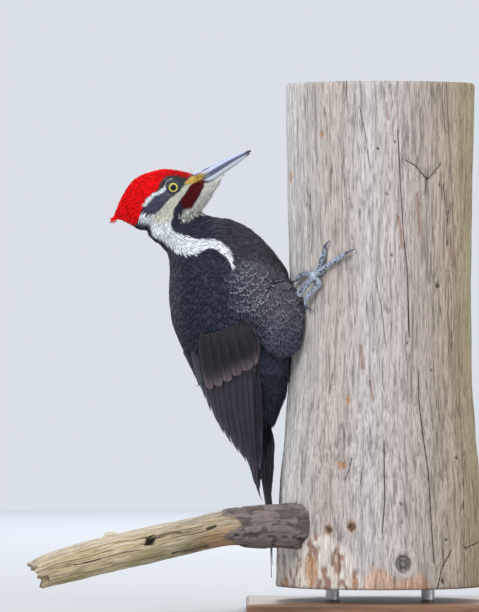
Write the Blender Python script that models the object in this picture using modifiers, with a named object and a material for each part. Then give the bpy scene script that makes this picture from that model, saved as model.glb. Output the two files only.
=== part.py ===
"""Pileated woodpecker clinging to a cut length of dead trunk, on a plain display stand.

Metres, +Z up. The origin is the centre of the stand base's underside, below the log's axis.
The bird clings to the log's -X side: its belly faces +X and its right side faces -Y.
Station tables are in millimetres and are multiplied by MM where they are used.
"""

import math

import bmesh
import bpy
from mathutils import Vector

MM = 0.001
GAP = 0.3 * MM  # clearance that neighbouring solids keep
CUT = 0.4 * MM  # width of the thin cuts between lengths of one body form

# --- driving sizes -----------------------------------------------------------------------
BASE_SIZE = Vector((236, 184, 10)) * MM
BASE_BEVEL = 2.5 * MM
ROD_DIAMETER = 12 * MM
ROD_SPACING = 84 * MM
LOG_BOTTOM = 22 * MM
EYE_POINT = Vector((-181.9, 0, 372.5)) * MM  # on the mid-plane, between the two eyes
BILL_RISE = math.radians(24.7)  # slope of the bill's axis above the horizontal
EYE_RADIUS = 5.6 * MM
EYE_OUT = 14.4 * MM  # eyeball centre from the mid-plane
WING_THICKNESS = 5.5 * MM
PRIMARY_THICKNESS = 3.6 * MM
WING_PROUD = 0.8 * MM  # how far the folded wing stands out of the body's outline
PRIMARY_STEP = 1.0 * MM  # how far the primaries lie below the wing coverts
TAIL_THICKNESS = 2.4 * MM
RIGHT, LEFT = -1, 1  # sign of Y on each side of the bird
SIDES = {"right": RIGHT, "left": LEFT}

# Log: height, radius.
LOG_RADII = [
    (22, 91.5), (60, 90), (115, 87.5), (150, 84), (200, 80.5), (290, 79.5), (380, 81.2), (464, 83),
]
# Lobes that keep the log's outline from being a true circle: waves round it, share of radius, phase.
LOG_LOBES = [(2, 0.007, 0.6), (3, 0.008, 2.1), (5, 0.005, 0.4)]

# Dead branch: x, y, z of its centre line, half height, half width.
BRANCH = [
    (-52, -38, 75, 21, 19), (-80, -50, 76.5, 19, 18), (-106, -56, 76, 18, 17.5), (-132, -61, 75.5, 16, 16),
    (-160, -67, 70.5, 15.5, 15.5), (-202, -77, 61, 15.8, 15), (-246, -88, 51, 16, 14.5),
    (-281, -96, 42, 15, 12.5), (-296, -100, 37, 11, 8),
]

# Body form: back x, z and front x, z of each section on the mid-plane, then half width.
NECK = [
    (-205.9, 342.3, -161.9, 361.7, 17),
    (-204.2, 329.1, -156.6, 351.1, 20),
    (-194.5, 322.1, -147.0, 347.2, 25),
    (-188.3, 314.2, -133.8, 346.3, 32),
]
TORSO = [
    (-188.3, 314.2, -133.8, 346.3, 32),
    (-186.6, 301.9, -114.4, 337.9, 40),
    (-187.4, 286.0, -93.3, 317.7, 46.5),
    (-187.0, 269.3, -75.7, 291.3, 50),
    (-182.9, 251.7, -68.6, 263.1, 50),
    (-172.0, 233.3, -69.5, 236.7, 44.5),
    (-157.0, 214.0, -73.9, 215.6, 35),
    (-143.0, 193.6, -80.1, 193.6, 26),
    (-131.0, 175.1, -87.6, 175.1, 18),
    (-118.5, 161.2, -92.4, 161.9, 10),
]
# Folded wing: the body section it lies on, then the angles from the back where it starts and ends.
WING = [
    (-186.7, 298.0, -110.0, 333.5, 41.5, 50, 86),
    (-187.4, 286.0, -93.3, 317.7, 46.5, 31, 101),
    (-187.0, 269.3, -75.7, 291.3, 50, 13, 104),
    (-183.9, 251.7, -68.6, 263.1, 51, 3, 108.6),
    (-176.0, 233.2, -69.5, 236.7, 48.5, 0.9, 108.8),
    (-167.2, 215.6, -74.8, 224.0, 43, 0.9, 107.5),
    (-158.8, 198.0, -79.0, 215.0, 38, 1.0, 106),
]
PRIMARIES = [
    (-158.8, 198.0, -79.0, 215.0, 38, 1.0, 106),
    (-155.0, 188.0, -81.0, 194.0, 34, 1.1, 103),
    (-150.0, 175.1, -84.5, 175.1, 30, 1.2, 102.7),
    (-141.7, 160.2, -87.1, 160.2, 25, 1.5, 99),
    (-129.4, 142.8, -91.5, 142.8, 19, 2, 93),
    (-119.7, 130.3, -98.6, 130.3, 14, 3, 94),
    (-114.8, 115.3, -101.8, 115.3, 10.5, 5, 104),
    (-110.0, 102.1, -102.6, 102.1, 8, 10, 112),
    (-106.5, 95.1, -103.4, 95.1, 6, 30, 125),
]
# Tail: height, x of its ridge, how far its edges drop towards the belly, half width.
TAIL = [
    (172, -108.5, 8, 9), (150.6, -108.7, 14.4, 15), (132, -107.2, 12.5, 20), (106.5, -103.4, 8.5, 24),
    (80, -99.4, 6.2, 22), (58, -97.2, 3.4, 17), (42, -96.6, 1.6, 11.5), (29, -96.2, 0.4, 3.5),
]
# Head and crest: distance ahead of the eyes along the bill's axis, top, bottom, half width.
HEAD = [
    (-23.4, 22.8, -23.8, 17), (-12.8, 21.9, -26.8, 18.6), (-1.4, 19.6, -28.2, 19.2),
    (7.4, 15.0, -28.8, 18.4), (14.4, 9.9, -28.5, 16.6), (20.6, 5.6, -25.4, 13.8),
    (26.8, -1.0, -21.6, 10.8), (32.0, -6.0, -18.0, 8.6), (39.1, -7.2, -13.9, 6.0), (47.5, -6.9, -7.9, 2.4),
]
CREST = [
    (-62.6, -3.2, -4.4, 0.9), (-58.6, 0.9, -4.4, 2.8), (-53.3, 5.5, -8.4, 5), (-48.0, 9.7, -15, 7.6),
    (-41.9, 14.3, -22, 10.6), (-33.1, 20.0, -24.6, 14.2), (-23.4, 22.8, -23.8, 17),
]
# Bill: distance ahead of the eyes, culmen, line where the mandibles meet, lower edge, half width.
BILL = [
    (10.9, 4.4, -4.9, -9.2, 6.2), (16.2, 5.0, -4.9, -9.7, 6.8), (25.0, 4.3, -4.7, -9.7, 6.6),
    (33.8, 4.1, -3.9, -9.2, 6.0), (42.6, 4.1, -2.9, -7.9, 5.3), (51.4, 4.1, -1.7, -6.2, 4.5),
    (60.2, 3.8, -0.6, -4.5, 3.5), (69.0, 3.1, -0.1, -2.4, 2.3), (73.8, 2.4, 0.2, -0.9, 1.5),
    (75.6, 1.9, 0.3, -0.4, 1.3),
]
# Feathered thigh: centre x, y (on the left), z, then half sizes, leaning outwards round the log.
THIGH_CENTRE = (-86, 39, 257)
THIGH_HALF_SIZES = (24, 18, 35)
THIGH_TURN = math.radians(-24)

# Feet. Each point is an angle round the log from its -X side, a height and a lift off the bark.
FOOT_CENTRE = (45.0, 294.5, 4.5)
ANKLE = (36.0, 278.0, 11.0)
TOES = {
    "toe1": [(41, 296.0, 3.2), (35, 296.4, 3.4), (29, 294.0, 3.2), (24.5, 291.5, 2.6)],
    "toe2": [(48, 301.0, 3.0), (50.5, 307.5, 3.4), (52, 313.0, 3.0), (52.8, 316.8, 2.6)],
    "toe3": [(50, 299.0, 3.0), (56, 304.0, 3.4), (62, 309.2, 3.2), (66, 312.6, 2.6)],
    "toe4": [(48, 288.0, 3.0), (45, 282.5, 4.4), (40.5, 277.0, 5.6), (38, 272.5, 5.0)],
}
CLAWS = {
    "toe1": [(24.2, 291.3, 2.8), (22.0, 290.0, 4.0), (19.4, 288.2, 3.6), (17.2, 286.2, 0.7)],
    "toe2": [(52.9, 317.2, 2.8), (53.8, 320.5, 4.0), (55.2, 323.4, 3.4), (56.6, 325.6, 0.7)],
    "toe3": [(66.4, 312.9, 2.8), (69.0, 315.0, 4.0), (71.6, 316.8, 3.4), (73.8, 318.0, 0.7)],
    "toe4": [(37.9, 272.0, 5.0), (38.0, 268.8, 5.2), (39.6, 266.0, 3.8), (42.0, 264.8, 0.7)],
}
TOE_RADII = (2.7, 2.5, 2.3, 1.9)
CLAW_RADII = (1.6, 1.4, 1.0, 0.45)
TARSUS_RADII = (2.9, 2.5, 2.7)
PALM_RADIUS = 3.9 * MM
FOOT_SHIFT = {"right": 0, "left": -7}  # the left foot grips the log a little lower

COLOURS = {
    "black_plumage": ((0.012, 0.012, 0.015), 0.5, 0.0),
    "white_plumage": ((0.72, 0.72, 0.68), 0.7, 0.0),
    "red_plumage": ((0.62, 0.012, 0.01), 0.55, 0.0),
    "bill_horn": ((0.33, 0.37, 0.43), 0.35, 0.0),
    "eye": ((0.75, 0.55, 0.12), 0.05, 0.0),
    "foot_scale": ((0.34, 0.37, 0.41), 0.5, 0.0),
    "claw_horn": ((0.04, 0.045, 0.055), 0.3, 0.0),
    "dead_wood": ((0.46, 0.38, 0.29), 0.85, 0.0),
    "stand_wood": ((0.11, 0.055, 0.03), 0.4, 0.0),
    "stand_steel": ((0.55, 0.56, 0.58), 0.3, 1.0),
}


# --- numbers -----------------------------------------------------------------------------
def along(rows, steps):
    """Rows of a station table, with smooth rows worked out between them (Catmull-Rom)."""
    found = []
    last = len(rows) - 1
    for i in range(last):
        a, b, c, d = (rows[max(0, min(last, i + k))] for k in (-1, 0, 1, 2))
        for step in range(steps):
            t = step / steps
            found.append([
                q + 0.5 * ((r - p) * t + (2 * p - 5 * q + 4 * r - s) * t**2 + (3 * q - p - 3 * r + s) * t**3)
                for p, q, r, s in zip(a, b, c, d)
            ])
    found.append(list(rows[last]))
    return found


def between(pairs, x):
    """The value at x in a list of (x, value) pairs, by straight lines."""
    for (x0, y0), (x1, y1) in zip(pairs, pairs[1:]):
        if x <= x1:
            break
    share = min(1, max(0, (x - x0) / (x1 - x0)))
    return y0 + (y1 - y0) * share


def log_radius(angle, height):
    """Radius of the log's bark, in metres. The angle is in radians from -X towards -Y."""
    radius = between(LOG_RADII, height / MM) * MM
    return radius * (1 + sum(share * math.cos(waves * angle + phase) for waves, share, phase in LOG_LOBES))


def on_bark(angle, height, lift, side):
    """Point over the bark: degrees round from the -X side towards the bird's right or left, mm, mm."""
    turn = -side * math.radians(angle)
    radius = log_radius(turn, height * MM) + lift * MM
    return Vector((-radius * math.cos(turn), -radius * math.sin(turn), height * MM))


# --- making objects ----------------------------------------------------------------------
def clear_scene():
    for obj in list(bpy.data.objects):
        bpy.data.objects.remove(obj)


def collection(name):
    made = bpy.data.collections.new(name)
    bpy.context.scene.collection.children.link(made)
    return made


def material(name):
    colour, roughness, metallic = COLOURS[name]
    made = bpy.data.materials.get(name) or bpy.data.materials.new(name)
    made.use_nodes = True
    shader = made.node_tree.nodes["Principled BSDF"]
    shader.inputs["Base Color"].default_value = (*colour, 1)
    shader.inputs["Roughness"].default_value = roughness
    shader.inputs["Metallic"].default_value = metallic
    return made


def mesh_object(name, mesh, finish):
    made = bpy.data.objects.new(name, mesh)
    bpy.data.collections["woodpecker"].objects.link(made)
    mesh.materials.clear()
    mesh.materials.append(material(finish))
    mesh.shade_smooth()
    mesh.set_sharp_from_angle(angle=math.radians(40))
    return made


def loft(name, rings, finish):
    """A closed solid through rings of points, all of the same count, with flat ends.

    Its faces are triangles, so that a cutter taken from it bends along the same diagonals.
    """
    form = bmesh.new()
    loops = [[form.verts.new(point) for point in ring] for ring in rings]
    for near, far in zip(loops, loops[1:]):
        for i in range(len(near)):
            j = (i + 1) % len(near)
            form.faces.new((near[i], near[j], far[j], far[i]))
    for end in (loops[0], loops[-1]):
        form.faces.new(end)
    bmesh.ops.triangulate(form, faces=form.faces)
    bmesh.ops.recalc_face_normals(form, faces=form.faces)
    mesh = bpy.data.meshes.new(name)
    form.to_mesh(mesh)
    form.free()
    return mesh_object(name, mesh, finish)


def evaluated_mesh(obj):
    graph = bpy.context.evaluated_depsgraph_get()
    graph.update()
    return bpy.data.meshes.new_from_object(obj.evaluated_get(graph))


def tube(name, points, radii, finish, steps=2):
    """A round bar through the points, its radius running smoothly through the radii, as a mesh."""
    curve = bpy.data.curves.new(name, "CURVE")
    curve.dimensions = "3D"
    curve.bevel_depth = 1.0
    curve.bevel_resolution = 1
    curve.use_fill_caps = True
    rows = along([(*point, radius * MM) for point, radius in zip(points, radii)], steps)
    line = curve.splines.new("POLY")
    line.points.add(len(rows) - 1)
    for spot, (x, y, z, radius) in zip(line.points, rows):
        spot.co = (x, y, z, 1)
        spot.radius = radius
    shape = bpy.data.objects.new(name, curve)
    bpy.data.collections["woodpecker"].objects.link(shape)
    form = bmesh.new()
    form.from_mesh(evaluated_mesh(shape))
    bmesh.ops.remove_doubles(form, verts=form.verts, dist=1e-5)
    bmesh.ops.recalc_face_normals(form, faces=form.faces)
    bpy.data.objects.remove(shape)
    mesh = bpy.data.meshes.new(name)
    form.to_mesh(mesh)
    form.free()
    return mesh_object(name, mesh, finish)


def boolean(target, other, operation):
    change = target.modifiers.new(f"{operation.lower()} {other.name}", "BOOLEAN")
    change.operation = operation
    change.solver = "EXACT"
    change.object = other
    other.hide_render = True
    other.display_type = "WIRE"


def clear(target, *others):
    """Cuts target back so that it stays GAP away from each of the others."""
    for other in others:
        mesh = evaluated_mesh(other)
        normals = [vertex.normal.copy() for vertex in mesh.vertices]
        for vertex, normal in zip(mesh.vertices, normals):
            vertex.co += normal * GAP
        cutter = bpy.data.objects.new(f"room for {other.name} in {target.name}", mesh)
        bpy.data.collections["cutters"].objects.link(cutter)
        boolean(target, cutter, "DIFFERENCE")


def join(target, *others):
    """Boolean union of the others into target."""
    for other in others:
        bpy.data.collections["woodpecker"].objects.unlink(other)
        bpy.data.collections["cutters"].objects.link(other)
        boolean(target, other, "UNION")


# --- stand and perch ---------------------------------------------------------------------
def stand():
    bpy.ops.mesh.primitive_cube_add(size=1, location=(0, 0, BASE_SIZE.z / 2))
    base = bpy.context.active_object
    mesh = base.data
    bpy.data.objects.remove(base)
    for vertex in mesh.vertices:
        vertex.co = Vector(a * b for a, b in zip(vertex.co, BASE_SIZE))
    base = mesh_object("stand_base", mesh, "stand_wood")
    base.location.z = BASE_SIZE.z / 2
    edge = base.modifiers.new("rounded edge", "BEVEL")
    edge.width = BASE_BEVEL
    edge.segments = 2
    rod_length = LOG_BOTTOM - BASE_SIZE.z - 2 * GAP
    for name, sign in (("stand_rod_1", -1), ("stand_rod_2", 1)):
        form = bmesh.new()
        bmesh.ops.create_cone(
            form, cap_ends=True, segments=20, radius1=ROD_DIAMETER / 2, radius2=ROD_DIAMETER / 2,
            depth=rod_length,
        )
        mesh = bpy.data.meshes.new(name)
        form.to_mesh(mesh)
        form.free()
        rod = mesh_object(name, mesh, "stand_steel")
        rod.location = (sign * ROD_SPACING / 2, 0, BASE_SIZE.z + GAP + rod_length / 2)


def log():
    around = 32
    rings = []
    for height, _ in LOG_RADII:
        ring = []
        for i in range(around):
            angle = math.tau * i / around
            radius = log_radius(angle, height * MM)
            ring.append((-radius * math.cos(angle), -radius * math.sin(angle), height * MM))
        rings.append(ring)
    return loft("perch_log", rings, "dead_wood")


def branch(trunk):
    around = 14
    rows = along(BRANCH, 2)
    rings = []
    for i, (x, y, z, half_height, half_width) in enumerate(rows):
        ahead = Vector(rows[min(i + 1, len(rows) - 1)][:3]) - Vector(rows[max(i - 1, 0)][:3])
        across = ahead.cross(Vector((0, 0, 1))).normalized()
        up = across.cross(ahead).normalized()
        turns = [math.tau * k / around for k in range(around)]
        rings.append([
            (Vector((x, y, z)) + across * half_width * math.cos(t) + up * half_height * math.sin(t)) * MM
            for t in turns
        ])
    made = loft("perch_branch", rings, "dead_wood")
    clear(made, trunk)
    return made


# --- body --------------------------------------------------------------------------------
def section(row):
    """Centre, front-pointing direction and half depth of a body section row, in metres."""
    back = Vector((row[0], 0, row[1])) * MM
    front = Vector((row[2], 0, row[3])) * MM
    return (back + front) / 2, (front - back).normalized(), (front - back).length / 2


def shift_end(rings, index, neighbour, distance):
    """Moves an end ring towards its neighbour, to leave half of a thin cut."""
    end, other = rings[index], rings[neighbour]
    step = (sum(other, Vector()) - sum(end, Vector())) / len(end)
    share = distance / step.length
    rings[index] = [point.lerp(target, share) for point, target in zip(end, other)]


def body_form(name, rows, finish, around=16, steps=2, cut_first=False, cut_last=False):
    rings = []
    for row in along(rows, steps):
        centre, forward, half_depth = section(row)
        half_width = row[4] * MM
        turns = [math.tau * k / around for k in range(around)]
        rings.append([
            centre - forward * half_depth * math.cos(t) + Vector((0, half_width * math.sin(t), 0))
            for t in turns
        ])
    if cut_first:
        shift_end(rings, 0, 1, CUT / 2)
    if cut_last:
        shift_end(rings, -1, -2, CUT / 2)
    return loft(name, rings, finish)


def wing_form(name, rows, side, thickness, proud, steps, cut_first=False, cut_last=False):
    """A curved slab on the body's side, from its first angle round to its last."""
    across = 7
    edge_share = 0.45  # thickness left at the wing's two edges
    most_depth = 0.7  # share of the way in to the section's centre
    rings = []
    for row in along(rows, steps):
        centre, forward, half_depth = section(row)
        half_width = row[4] * MM
        outer, inner = [], []
        for k in range(across):
            share = k / (across - 1)
            t = math.radians(row[5] + (row[6] - row[5]) * share)
            out = Vector((0, half_depth * math.sin(t), 0)) * side - forward * half_width * math.cos(t)
            out.normalize()
            flat = Vector((0, half_width * math.sin(t), 0)) * side - forward * half_depth * math.cos(t)
            fullness = edge_share + (1 - edge_share) * math.sin(math.pi * share) ** 0.5
            depth = min(thickness * fullness, out.dot(flat) * most_depth)
            outer.append(centre + flat + out * proud)
            inner.append(centre + flat + out * (proud - depth))
        rings.append(outer + inner[::-1])
    if cut_first:
        shift_end(rings, 0, 1, CUT / 2)
    if cut_last:
        shift_end(rings, -1, -2, CUT / 2)
    return loft(name, rings, "black_plumage")


def tail():
    """An arched slab of stiff feathers, its middle ridge towards the back."""
    across = 9
    arch_power = 1.6
    rings = []
    for height, ridge, drop, half_width in TAIL:
        outer, inner = [], []
        for k in range(across):
            share = 2 * k / (across - 1) - 1
            x = ridge + drop * abs(share) ** arch_power
            outer.append(Vector((x, half_width * share, height)) * MM)
            inner.append(Vector((x, half_width * share * 0.93, height)) * MM + Vector((TAIL_THICKNESS, 0, 0)))
        rings.append(outer + inner[::-1])
    return loft("tail", rings, "black_plumage")


# --- head --------------------------------------------------------------------------------
def head_point(ahead, sideways, up):
    """A point given in the head's own directions, in mm: along the bill, to the left, over the crown."""
    along_bill = Vector((math.cos(BILL_RISE), 0, math.sin(BILL_RISE)))
    over_crown = Vector((-math.sin(BILL_RISE), 0, math.cos(BILL_RISE)))
    return EYE_POINT + (along_bill * ahead + over_crown * up + Vector((0, sideways, 0))) * MM


def head_form(name, rows, finish, around=18, steps=2):
    rings = []
    for ahead, top, bottom, half_width in along(rows, steps):
        middle, half_depth = (top + bottom) / 2, (top - bottom) / 2
        turns = [math.tau * k / around for k in range(around)]
        rings.append([
            head_point(ahead, half_width * math.sin(t), middle + half_depth * math.cos(t)) for t in turns
        ])
    return rings if name is None else loft(name, rings, finish)


def mandible(name, rows, upper):
    """Half of the bill: a ridged vault over, or a keel under, the line where the halves meet."""
    around = 9
    ridge_power = 0.8  # under 1 squares the shoulders beside the ridge
    rings = []
    for ahead, culmen, meeting, keel, half_width in rows:
        far = culmen if upper else keel
        near = meeting + (CUT / MM / 2) * (1 if upper else -1)
        ring = []
        for k in range(around):
            t = math.pi * k / (around - 1)
            height = near + (far - near) * math.sin(t) ** ridge_power
            ring.append(head_point(ahead, half_width * math.cos(t), height))
        rings.append(ring)
    return loft(name, rings, "bill_horn")


def eye(name, side):
    form = bmesh.new()
    bmesh.ops.create_uvsphere(form, u_segments=11, v_segments=7, radius=EYE_RADIUS)
    mesh = bpy.data.meshes.new(name)
    form.to_mesh(mesh)
    form.free()
    for vertex in mesh.vertices:
        vertex.co += head_point(0, side * EYE_OUT / MM, 0)
    return mesh_object(name, mesh, "eye")


# --- legs --------------------------------------------------------------------------------
def thigh(name, side):
    form = bmesh.new()
    bmesh.ops.create_uvsphere(form, u_segments=12, v_segments=9, radius=1)
    mesh = bpy.data.meshes.new(name)
    form.to_mesh(mesh)
    form.free()
    turn_cos, turn_sin = math.cos(THIGH_TURN * side), math.sin(THIGH_TURN * side)
    for vertex in mesh.vertices:
        x, y, z = (a * b for a, b in zip(vertex.co, THIGH_HALF_SIZES))
        x, y = x * turn_cos - y * turn_sin, x * turn_sin + y * turn_cos
        cx, cy, cz = THIGH_CENTRE
        vertex.co = Vector((cx + x, cy * side + y, cz + z)) * MM
    return mesh_object(name, mesh, "black_plumage")


def foot(side_name, side):
    """The scaled lower leg and four toes as one piece, and its four claws."""
    shift = FOOT_SHIFT[side_name]

    def place(angle, height, lift):
        return on_bark(angle, height + shift, lift, side)

    centre, ankle = place(*FOOT_CENTRE), place(*ANKLE)
    form = bmesh.new()
    bmesh.ops.create_uvsphere(form, u_segments=10, v_segments=7, radius=PALM_RADIUS)
    bmesh.ops.translate(form, verts=form.verts, vec=centre)
    mesh = bpy.data.meshes.new("palm")
    form.to_mesh(mesh)
    form.free()
    made = mesh_object(f"foot_{side_name}", mesh, "foot_scale")
    tarsus_line = [ankle, ankle.lerp(centre, 0.55), centre]
    tarsus = tube(f"tarsus_{side_name}", tarsus_line, TARSUS_RADII, "foot_scale")
    toes = []
    for name, points in TOES.items():
        first = place(*points[0])
        path = [centre.lerp(first, 0.3)] + [place(*point) for point in points]
        toes.append(tube(f"{name}_{side_name}", path, (TOE_RADII[0], *TOE_RADII), "foot_scale"))
    join(made, tarsus, *toes)
    claws = []
    for name, points in CLAWS.items():
        path = [place(*TOES[name][-1])] + [place(*point) for point in points[1:]]
        claws.append(tube(f"claw_{name}_{side_name}", path, CLAW_RADII, "claw_horn"))
        clear(claws[-1], made)
    return made, claws


def bird(trunk):
    upper = mandible("bill_upper", BILL, True)
    lower = mandible("bill_lower", BILL[:-1], False)
    eyes = [eye(f"eye_{name}", side) for name, side in SIDES.items()]
    head = head_form("head", HEAD, "white_plumage")
    crest_rings = head_form(None, CREST, "red_plumage")
    shift_end(crest_rings, -1, -2, CUT)
    crest = loft("crest", crest_rings, "red_plumage")
    clear(head, upper, lower, *eyes)
    whole_head = head_form("whole head", HEAD, "white_plumage")
    whole_crest = head_form("whole crest", CREST, "red_plumage")
    neck = body_form("neck", NECK, "white_plumage", cut_last=True)
    clear(neck, whole_head, whole_crest)
    for helper in (whole_head, whole_crest):
        bpy.data.objects.remove(helper)
    torso = body_form("torso", TORSO, "black_plumage", cut_first=True)
    clear(torso, trunk)
    tail_fan = tail()
    for name, side in SIDES.items():
        wing = wing_form(f"wing_{name}", WING, side, WING_THICKNESS, WING_PROUD, 2, cut_last=True)
        low = WING_PROUD - PRIMARY_STEP
        tips = wing_form(f"primaries_{name}", PRIMARIES, side, PRIMARY_THICKNESS, low, 1, cut_first=True)
        leg = thigh(f"thigh_{name}", side)
        foot_piece, claws = foot(name, side)
        clear(leg, trunk, foot_piece, *claws)
        clear(leg, wing)
        clear(torso, wing, tips, leg)
    clear(tail_fan, torso)


def main():
    clear_scene()
    collection("woodpecker")
    collection("cutters")
    stand()
    trunk = log()
    branch(trunk)
    bird(trunk)


main()
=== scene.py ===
"""Looks of the pileated woodpecker on its cut log: skin, feathers, bill, eyes, feet, wood and stand.

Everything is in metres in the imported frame. The bird's mid-plane is Y = 0 and its right side faces -Y.
Outlines of markings and the lie of the feathers are written in picture coordinates of the side view,
one unit being PIXEL metres, and are carried round the body on both sides.
"""
import math

import bmesh
import bpy
import numpy as np
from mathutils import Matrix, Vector
from mathutils.bvhtree import BVHTree


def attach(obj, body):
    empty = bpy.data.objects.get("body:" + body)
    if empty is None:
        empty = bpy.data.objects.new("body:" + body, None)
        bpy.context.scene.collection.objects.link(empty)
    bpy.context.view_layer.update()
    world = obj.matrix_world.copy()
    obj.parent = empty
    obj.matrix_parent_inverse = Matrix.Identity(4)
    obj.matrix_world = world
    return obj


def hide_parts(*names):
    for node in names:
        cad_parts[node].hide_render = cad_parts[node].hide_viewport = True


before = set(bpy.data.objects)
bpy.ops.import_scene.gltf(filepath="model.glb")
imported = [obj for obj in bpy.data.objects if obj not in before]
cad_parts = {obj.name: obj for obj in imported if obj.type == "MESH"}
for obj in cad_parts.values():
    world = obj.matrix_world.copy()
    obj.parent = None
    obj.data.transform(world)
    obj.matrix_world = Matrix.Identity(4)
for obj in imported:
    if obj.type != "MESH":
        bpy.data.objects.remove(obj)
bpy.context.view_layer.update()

MM = 0.001
PIXEL = 0.88 * MM  # size of one picture unit on the bird's mid-plane
PICTURE_X0, PICTURE_Y0 = 380.2, 611.1  # picture place of the frame's origin
PICTURE_SIZE = (479, 612)
RIGHT, LEFT = -1, 1
SIDES = {"right": RIGHT, "left": LEFT}
FLESH = ("head", "crest", "neck", "torso", "thigh_right", "thigh_left", "wing_right", "wing_left")

EYE_PLACE = Vector((-181.9, 0, 372.5)) * MM
BILL_RISE = math.radians(24.7)
EYE_OUT = 14.4 * MM
EYE_RADIUS = 5.6 * MM
BILL_AXIS = Vector((math.cos(BILL_RISE), 0, math.sin(BILL_RISE)))
CROWN_AXIS = Vector((-math.sin(BILL_RISE), 0, math.cos(BILL_RISE)))


# --- picture and frame ---------------------------------------------------------------------
def to_frame(x, y):
    """Frame X and Z of a picture place, in metres."""
    return (np.asarray(x) - PICTURE_X0) * PIXEL, (PICTURE_Y0 - np.asarray(y)) * PIXEL


def to_picture(points):
    """Picture x and y of frame points, an (n, 3) array."""
    return points[:, 0] / PIXEL + PICTURE_X0, PICTURE_Y0 - points[:, 2] / PIXEL


def head_point(ahead, sideways, up):
    """A place in the head's own directions, in mm: along the bill, to the left, over the crown."""
    return EYE_PLACE + (BILL_AXIS * ahead + CROWN_AXIS * up + Vector((0, sideways, 0))) * MM


def smoothstep(low, high, value):
    share = np.clip((np.asarray(value, dtype=float) - low) / (high - low), 0, 1)
    return share * share * (3 - 2 * share)


def value_noise(points, scale, seed=0):
    """Smooth noise from 0 to 1 at points (n, 3), with features about scale metres across."""
    spots = np.asarray(points, dtype=float) / scale + seed * 17.31
    cell = np.floor(spots).astype(np.int64)
    part = spots - cell
    part = part * part * (3 - 2 * part)
    total = np.zeros(len(spots))
    for corner in range(8):
        bits = np.array([(corner >> k) & 1 for k in range(3)])
        key = cell + bits
        mixed = (key[:, 0] * 73856093) ^ (key[:, 1] * 19349663) ^ (key[:, 2] * 83492791) ^ (seed * 2654435)
        mixed = (mixed ^ (mixed >> 13)) * 1274126177
        level = ((mixed ^ (mixed >> 16)) & 0xFFFF) / 65535.0
        weight = np.prod(np.where(bits, part, 1 - part), axis=1)
        total += level * weight
    return total


def layered_noise(points, scale, seed=0, layers=3):
    total, size, weight = 0, 0, 1.0
    for layer in range(layers):
        total = total + weight * value_noise(points, scale / 2**layer, seed + layer)
        size += weight
        weight *= 0.5
    return total / size


# --- materials -----------------------------------------------------------------------------
class Nodes:
    """Short-hand for building a material's node tree."""

    def __init__(self, name, roughness=0.5, **sockets):
        self.material = bpy.data.materials.new(name)
        self.material.use_nodes = True
        self.tree = self.material.node_tree
        self.shader = self.tree.nodes["Principled BSDF"]
        self.shader.inputs["Roughness"].default_value = roughness
        for socket, value in sockets.items():
            self.shader.inputs[socket.replace("_", " ")].default_value = value

    def add(self, kind, values=None, **properties):
        node = self.tree.nodes.new("ShaderNode" + kind)
        for key, value in properties.items():
            setattr(node, key, value)
        for key, value in (values or {}).items():
            if isinstance(value, bpy.types.NodeSocket):
                self.tree.links.new(value, node.inputs[key])
            else:
                node.inputs[key].default_value = value
        return node

    def attribute(self, name):
        return self.add("Attribute", attribute_name=name)

    def place(self):
        return self.add("TexCoord").outputs["Object"]

    def scaled(self, vector, scale):
        return self.add("Mapping", {"Vector": vector, "Scale": scale}).outputs["Vector"]

    def noise(self, vector, scale, detail=4.0, roughness=0.55):
        values = {"Vector": vector, "Scale": scale, "Detail": detail, "Roughness": roughness}
        return self.add("TexNoise", values).outputs["Fac"]

    def math(self, operation, first, second=0.0):
        return self.add("Math", {0: first, 1: second}, operation=operation).outputs[0]

    def ramp(self, factor, *stops):
        """A colour ramp: stops are (position, grey level or colour)."""
        node = self.add("ValToRGB", {"Fac": factor})
        elements = node.color_ramp.elements
        while len(elements) < len(stops):
            elements.new(0.5)
        for element, (position, colour) in zip(elements, stops):
            element.position = position
            element.color = (*colour, 1) if isinstance(colour, tuple) else (colour, colour, colour, 1)
        return node.outputs["Color"]

    def mix(self, factor, first, second, blend="MIX"):
        node = self.add("Mix", data_type="RGBA", blend_type=blend)
        for index, value in ((0, factor), (6, first), (7, second)):
            if isinstance(value, bpy.types.NodeSocket):
                self.tree.links.new(value, node.inputs[index])
            else:
                node.inputs[index].default_value = value if index == 0 else (*value, 1)
        return node.outputs[2]

    def bump(self, height, strength, distance):
        node = self.add("Bump", {"Height": height, "Strength": strength, "Distance": distance})
        self.tree.links.new(node.outputs["Normal"], self.shader.inputs["Normal"])

    def colour(self, socket):
        self.tree.links.new(socket, self.shader.inputs["Base Color"])

    def rough(self, socket):
        self.tree.links.new(socket, self.shader.inputs["Roughness"])


# --- meshes --------------------------------------------------------------------------------
def new_object(name, vertices, faces, material, smooth=True):
    mesh = bpy.data.meshes.new(name)
    mesh.from_pydata([tuple(v) for v in vertices], [], [tuple(f) for f in faces])
    mesh.update()
    made = bpy.data.objects.new(name, mesh)
    bpy.context.scene.collection.objects.link(made)
    mesh.materials.append(material)
    if smooth:
        mesh.shade_smooth()
    return made


def array_mesh(name, vertices, triangles, material):
    """A mesh made quickly from an (n, 3) array of places and an (m, 3) array of corners."""
    mesh = bpy.data.meshes.new(name)
    mesh.vertices.add(len(vertices))
    mesh.vertices.foreach_set("co", np.asarray(vertices, dtype=np.float32).ravel())
    mesh.loops.add(triangles.size)
    mesh.loops.foreach_set("vertex_index", triangles.astype(np.int32).ravel())
    mesh.polygons.add(len(triangles))
    mesh.polygons.foreach_set("loop_start", np.arange(0, triangles.size, 3, dtype=np.int32))
    mesh.update(calc_edges=True)
    mesh.validate()
    made = bpy.data.objects.new(name, mesh)
    bpy.context.scene.collection.objects.link(made)
    mesh.materials.append(material)
    mesh.shade_smooth()
    return made


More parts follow.
